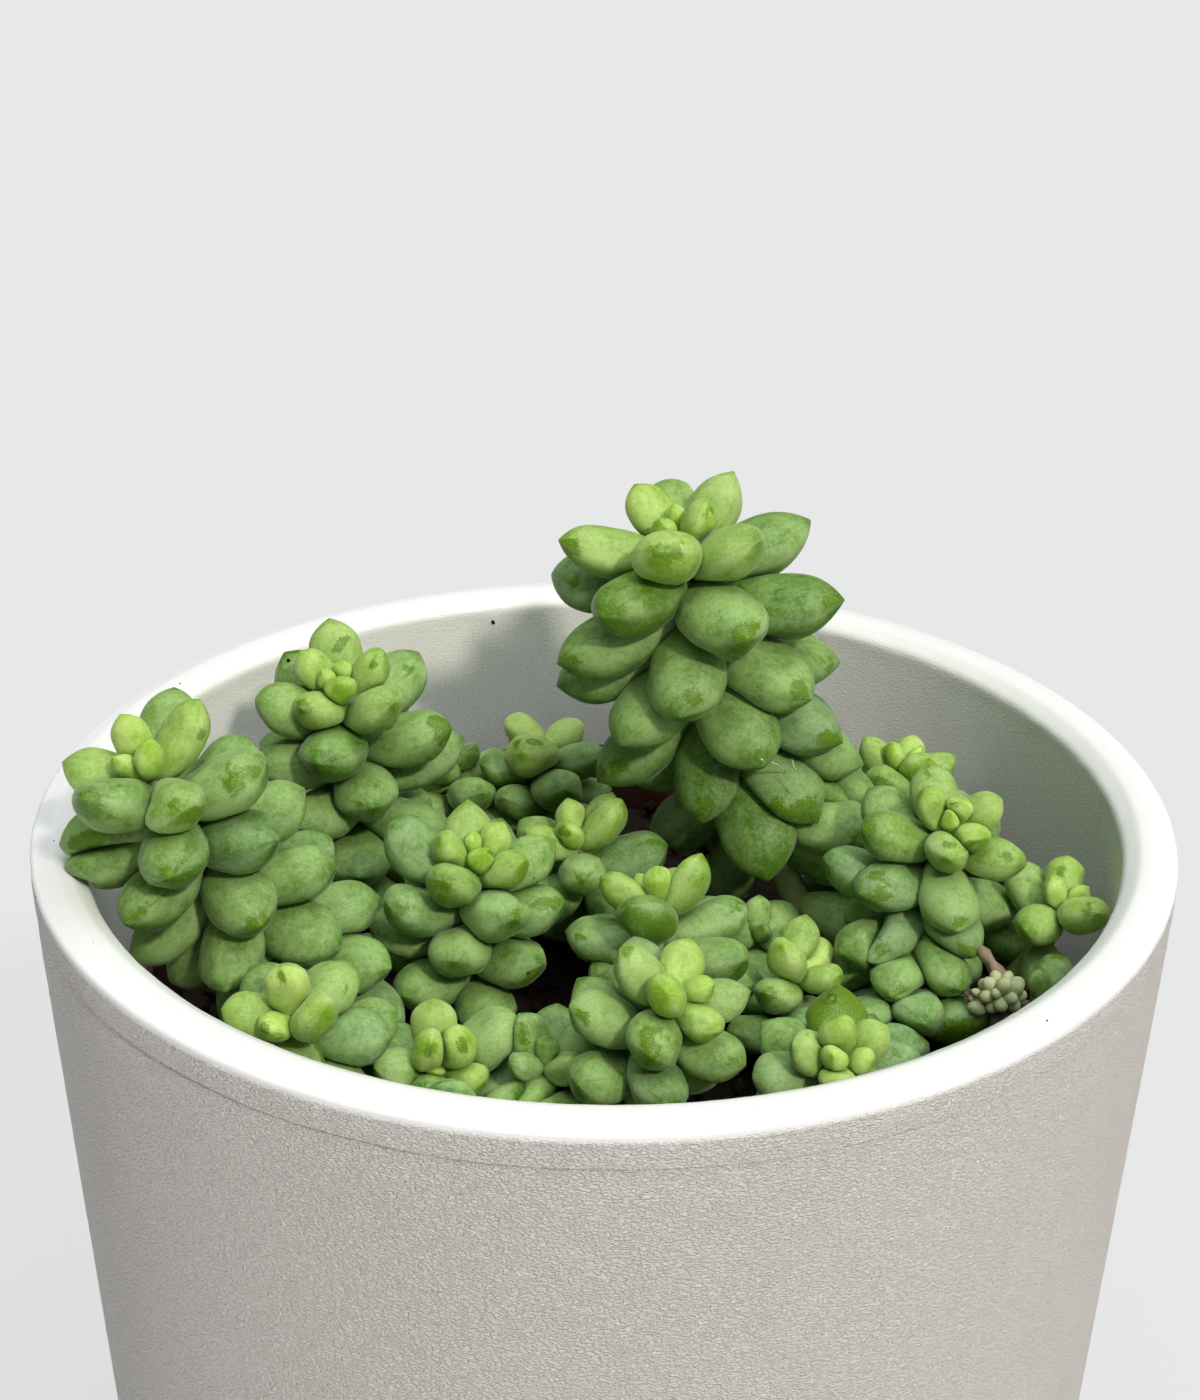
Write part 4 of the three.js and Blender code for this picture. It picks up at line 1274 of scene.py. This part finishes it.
def glaze_material():
    """White glaze, finely wrinkled outside below the lip and smooth elsewhere; the outer wall is a darker, warmer grey
    than the lip.
    """
    n = look("white_glaze")
    wall = n.value("wrinkled")
    blisters = n.range(n.grain(1900, 1.2, 0.5, n.place((1, 1, 1.85)), 0.5), 0.3, 0.72)
    pores = n.grain(2600, 2, 0.5, n.place((1, 1, 1.6)))
    mottled = n.grain(60, 3, 0.6)
    outer = n.value("outer")
    # The glaze is a little greyer on the lip's inner part and inside the planter: painted shade on the lip's inner
    # part; the inside takes the same greyer tone
    inner_color = n.tones(mottled, (231, 231, 223), (236, 236, 229))
    outer_color = n.tones(mottled, (236, 235, 231), (240, 239, 236))
    smooth_color = n.mix(n.range(outer, 0.45, 0.6), inner_color, outer_color)
    # The outer wall below the lip is darker and warmer than the lip
    wall_color = n.tones(mottled, (213, 208, 201), (221, 215, 208))
    color = n.mix(n.range(wall, 0.55, 0.9), smooth_color, wall_color)
    dust = n.range(n.grain(700, 2, 0.7), 0.7, 0.78, 0, 0.35)
    color = n.mix(dust, color, linear(176, 170, 162))
    relief = n.bump(n.times(blisters, wall), 1.0, 0.00034)
    relief = n.bump(pores, 0.22, 0.00018, relief)
    rough = n.range(wall, 0, 1, 0.42, 0.6)
    return n.set(Base_Color=color, Roughness=rough, Normal=relief, Specular_IOR_Level=0.35)


def dried_material():
    """Pale olive buds, tan withered skin and brown scraps, by the tone of each part."""
    n = look("dried_leaf")
    tone = n.value("chance")
    patches = n.grain(900, 4, 0.65)
    color = n.tones(patches, (142, 154, 100), (184, 192, 144))
    color = n.mix(n.range(tone, -0.9, -0.1), n.tones(patches, (196, 206, 176), (216, 222, 200)), color)
    color = n.mix(n.range(tone, 0.1, 0.45, 0, 0.6), color, linear(184, 180, 138))
    tan = n.tones(patches, (104, 86, 66), (152, 138, 112))
    color = n.mix(n.range(tone, 0.55, 0.65), color, tan)
    color = n.mix(n.range(tone, 0.85, 0.95), color, n.tones(patches, (54, 34, 22), (92, 64, 46)))
    return n.set(Base_Color=color, Roughness=0.75, Normal=n.bump(patches, 0.4, 0.0003))


def water_material():
    n = look("water")
    ripple = n.grain(400, 2)
    return n.set(Base_Color=n.tones(ripple, (250, 252, 250), (255, 255, 255)), Roughness=0.03,
                 IOR=1.33, Transmission_Weight=1.0)


def plastic_material():
    n = look("nursery_plastic")
    scuffs = n.grain(260, 4, 0.65, n.place((1, 1, 6)))
    color = n.tones(scuffs, (44, 16, 9), (70, 28, 15))
    dust = n.range(n.grain(90, 3), 0.5, 0.8, 0, 0.3)
    color = n.mix(dust, color, linear(66, 46, 34))
    rough = n.range(scuffs, 0.2, 0.8, 0.45, 0.7)
    return n.set(Base_Color=color, Roughness=rough, Normal=n.bump(scuffs, 0.2, 0.0003))


def soil_material(name, by_crumb):
    n = look(name)
    patches = n.value("chance") if by_crumb else n.grain(300, 4, 0.7)
    grains = n.grain(1500, 3, 0.7)
    color = n.tones(patches, (14, 10, 7), (42, 30, 21))
    color = n.mix(n.range(grains, 0.64, 0.8, 0, 0.4), color, linear(74, 58, 43))
    return n.set(Base_Color=color, Roughness=0.95, Normal=n.bump(grains, 0.8, 0.0008),
                 Specular_IOR_Level=0.2)


def floor_material():
    n = look("pale_floor")
    soft = n.grain(3, 2, 0.5)
    color = n.mix(soft, (0.12, 0.12, 0.12, 1), (0.13, 0.13, 0.13, 1))
    return n.set(Base_Color=color, Roughness=0.9, Specular_IOR_Level=0.1,
                 Emission_Color=(1, 1, 1, 1), Emission_Strength=FLOOR_GLOW)


# Stage

FLOOR_HALF = 60
FLOOR_GLOW = 0.64
SUN_STRENGTH = 1.7
SUN_SOFTNESS = 5
SUN_FROM = Vector((0.378, -0.655, 0.656))
SUN_COLOR = (1.0, 0.94, 0.85)
SKY_LEFT = (0.01, 0.012, 0.015)
# Each brightening of the sky: the way it lies, where it starts and is full, and its colour.
# They stand at the right, in front and overhead, each laid over the ones before.
SKY_RAMPS = (
    ((0.9, -0.43, 0), -0.9, 0.9, (0.1, 0.095, 0.09)),
    ((0.2, -0.87, 0.45), 0.75, 0.98, (0.4, 0.41, 0.42)),
    ((0.13, -0.08, 0.988), 0.68, 0.97, (2.72, 2.86, 3.0)),
)


def studio_world():
    """Bright overhead, dim and cool on the left, warmer on the right."""
    n = Nodes(bpy.data.worlds.new("studio"))
    where = n.add("ShaderNodeTexCoord").outputs["Generated"]
    sky = (*SKY_LEFT, 1)
    for direction, low, high, color in SKY_RAMPS:
        side = n.add("ShaderNodeVectorMath", operation="DOT_PRODUCT")
        n.feed(side.inputs[0], where)
        n.feed(side.inputs[1], direction)
        sky = n.mix(n.range(side.outputs["Value"], low, high), sky, (*color, 1))
    n.fill(n.tree.nodes["Background"], Color=sky)
    return n.owner


def make_stage():
    half = FLOOR_HALF / MM
    corners = [(-half, -half, 0), (half, -half, 0), (half, half, 0), (-half, half, 0)]
    new_object("floor", corners, [(0, 1, 2, 3)], [floor_material()], smooth=False)

    sun = bpy.data.lights.new("sun", "SUN")
    sun.energy = SUN_STRENGTH
    sun.angle = math.radians(SUN_SOFTNESS)
    sun.color = SUN_COLOR
    lamp = bpy.data.objects.new("sun", sun)
    lamp.rotation_mode = "QUATERNION"
    lamp.rotation_quaternion = SUN_FROM.to_track_quat("Z", "Y")
    bpy.context.scene.collection.objects.link(lamp)

    bpy.context.scene.world = studio_world()
    bpy.context.scene.view_settings.view_transform = "Standard"


make_camera()
make_stage()

skins = all_skins()
rub_marks(skins)
leaf, stalk = leaf_material(), stalk_material()
stems = [leafy_stem(name, skins, [leaf, stalk]) for name in STEMS if name != "dried_offset"]
pot = planter_piece(glaze_material())
nursery_piece(plastic_material())
soil_piece(soil_material("potting_mix", False))
crumb_look = soil_material("potting_crumbs", True)
soil_crumbs(crumb_look)
dried_look = dried_material()
dried = dried_offset(dried_look)
specks = small_things(tree_of([*stems, pot, dried]), dried_look, water_material())
specks.piece("soil_specks", crumb_look, "potting_soil", smooth=False)
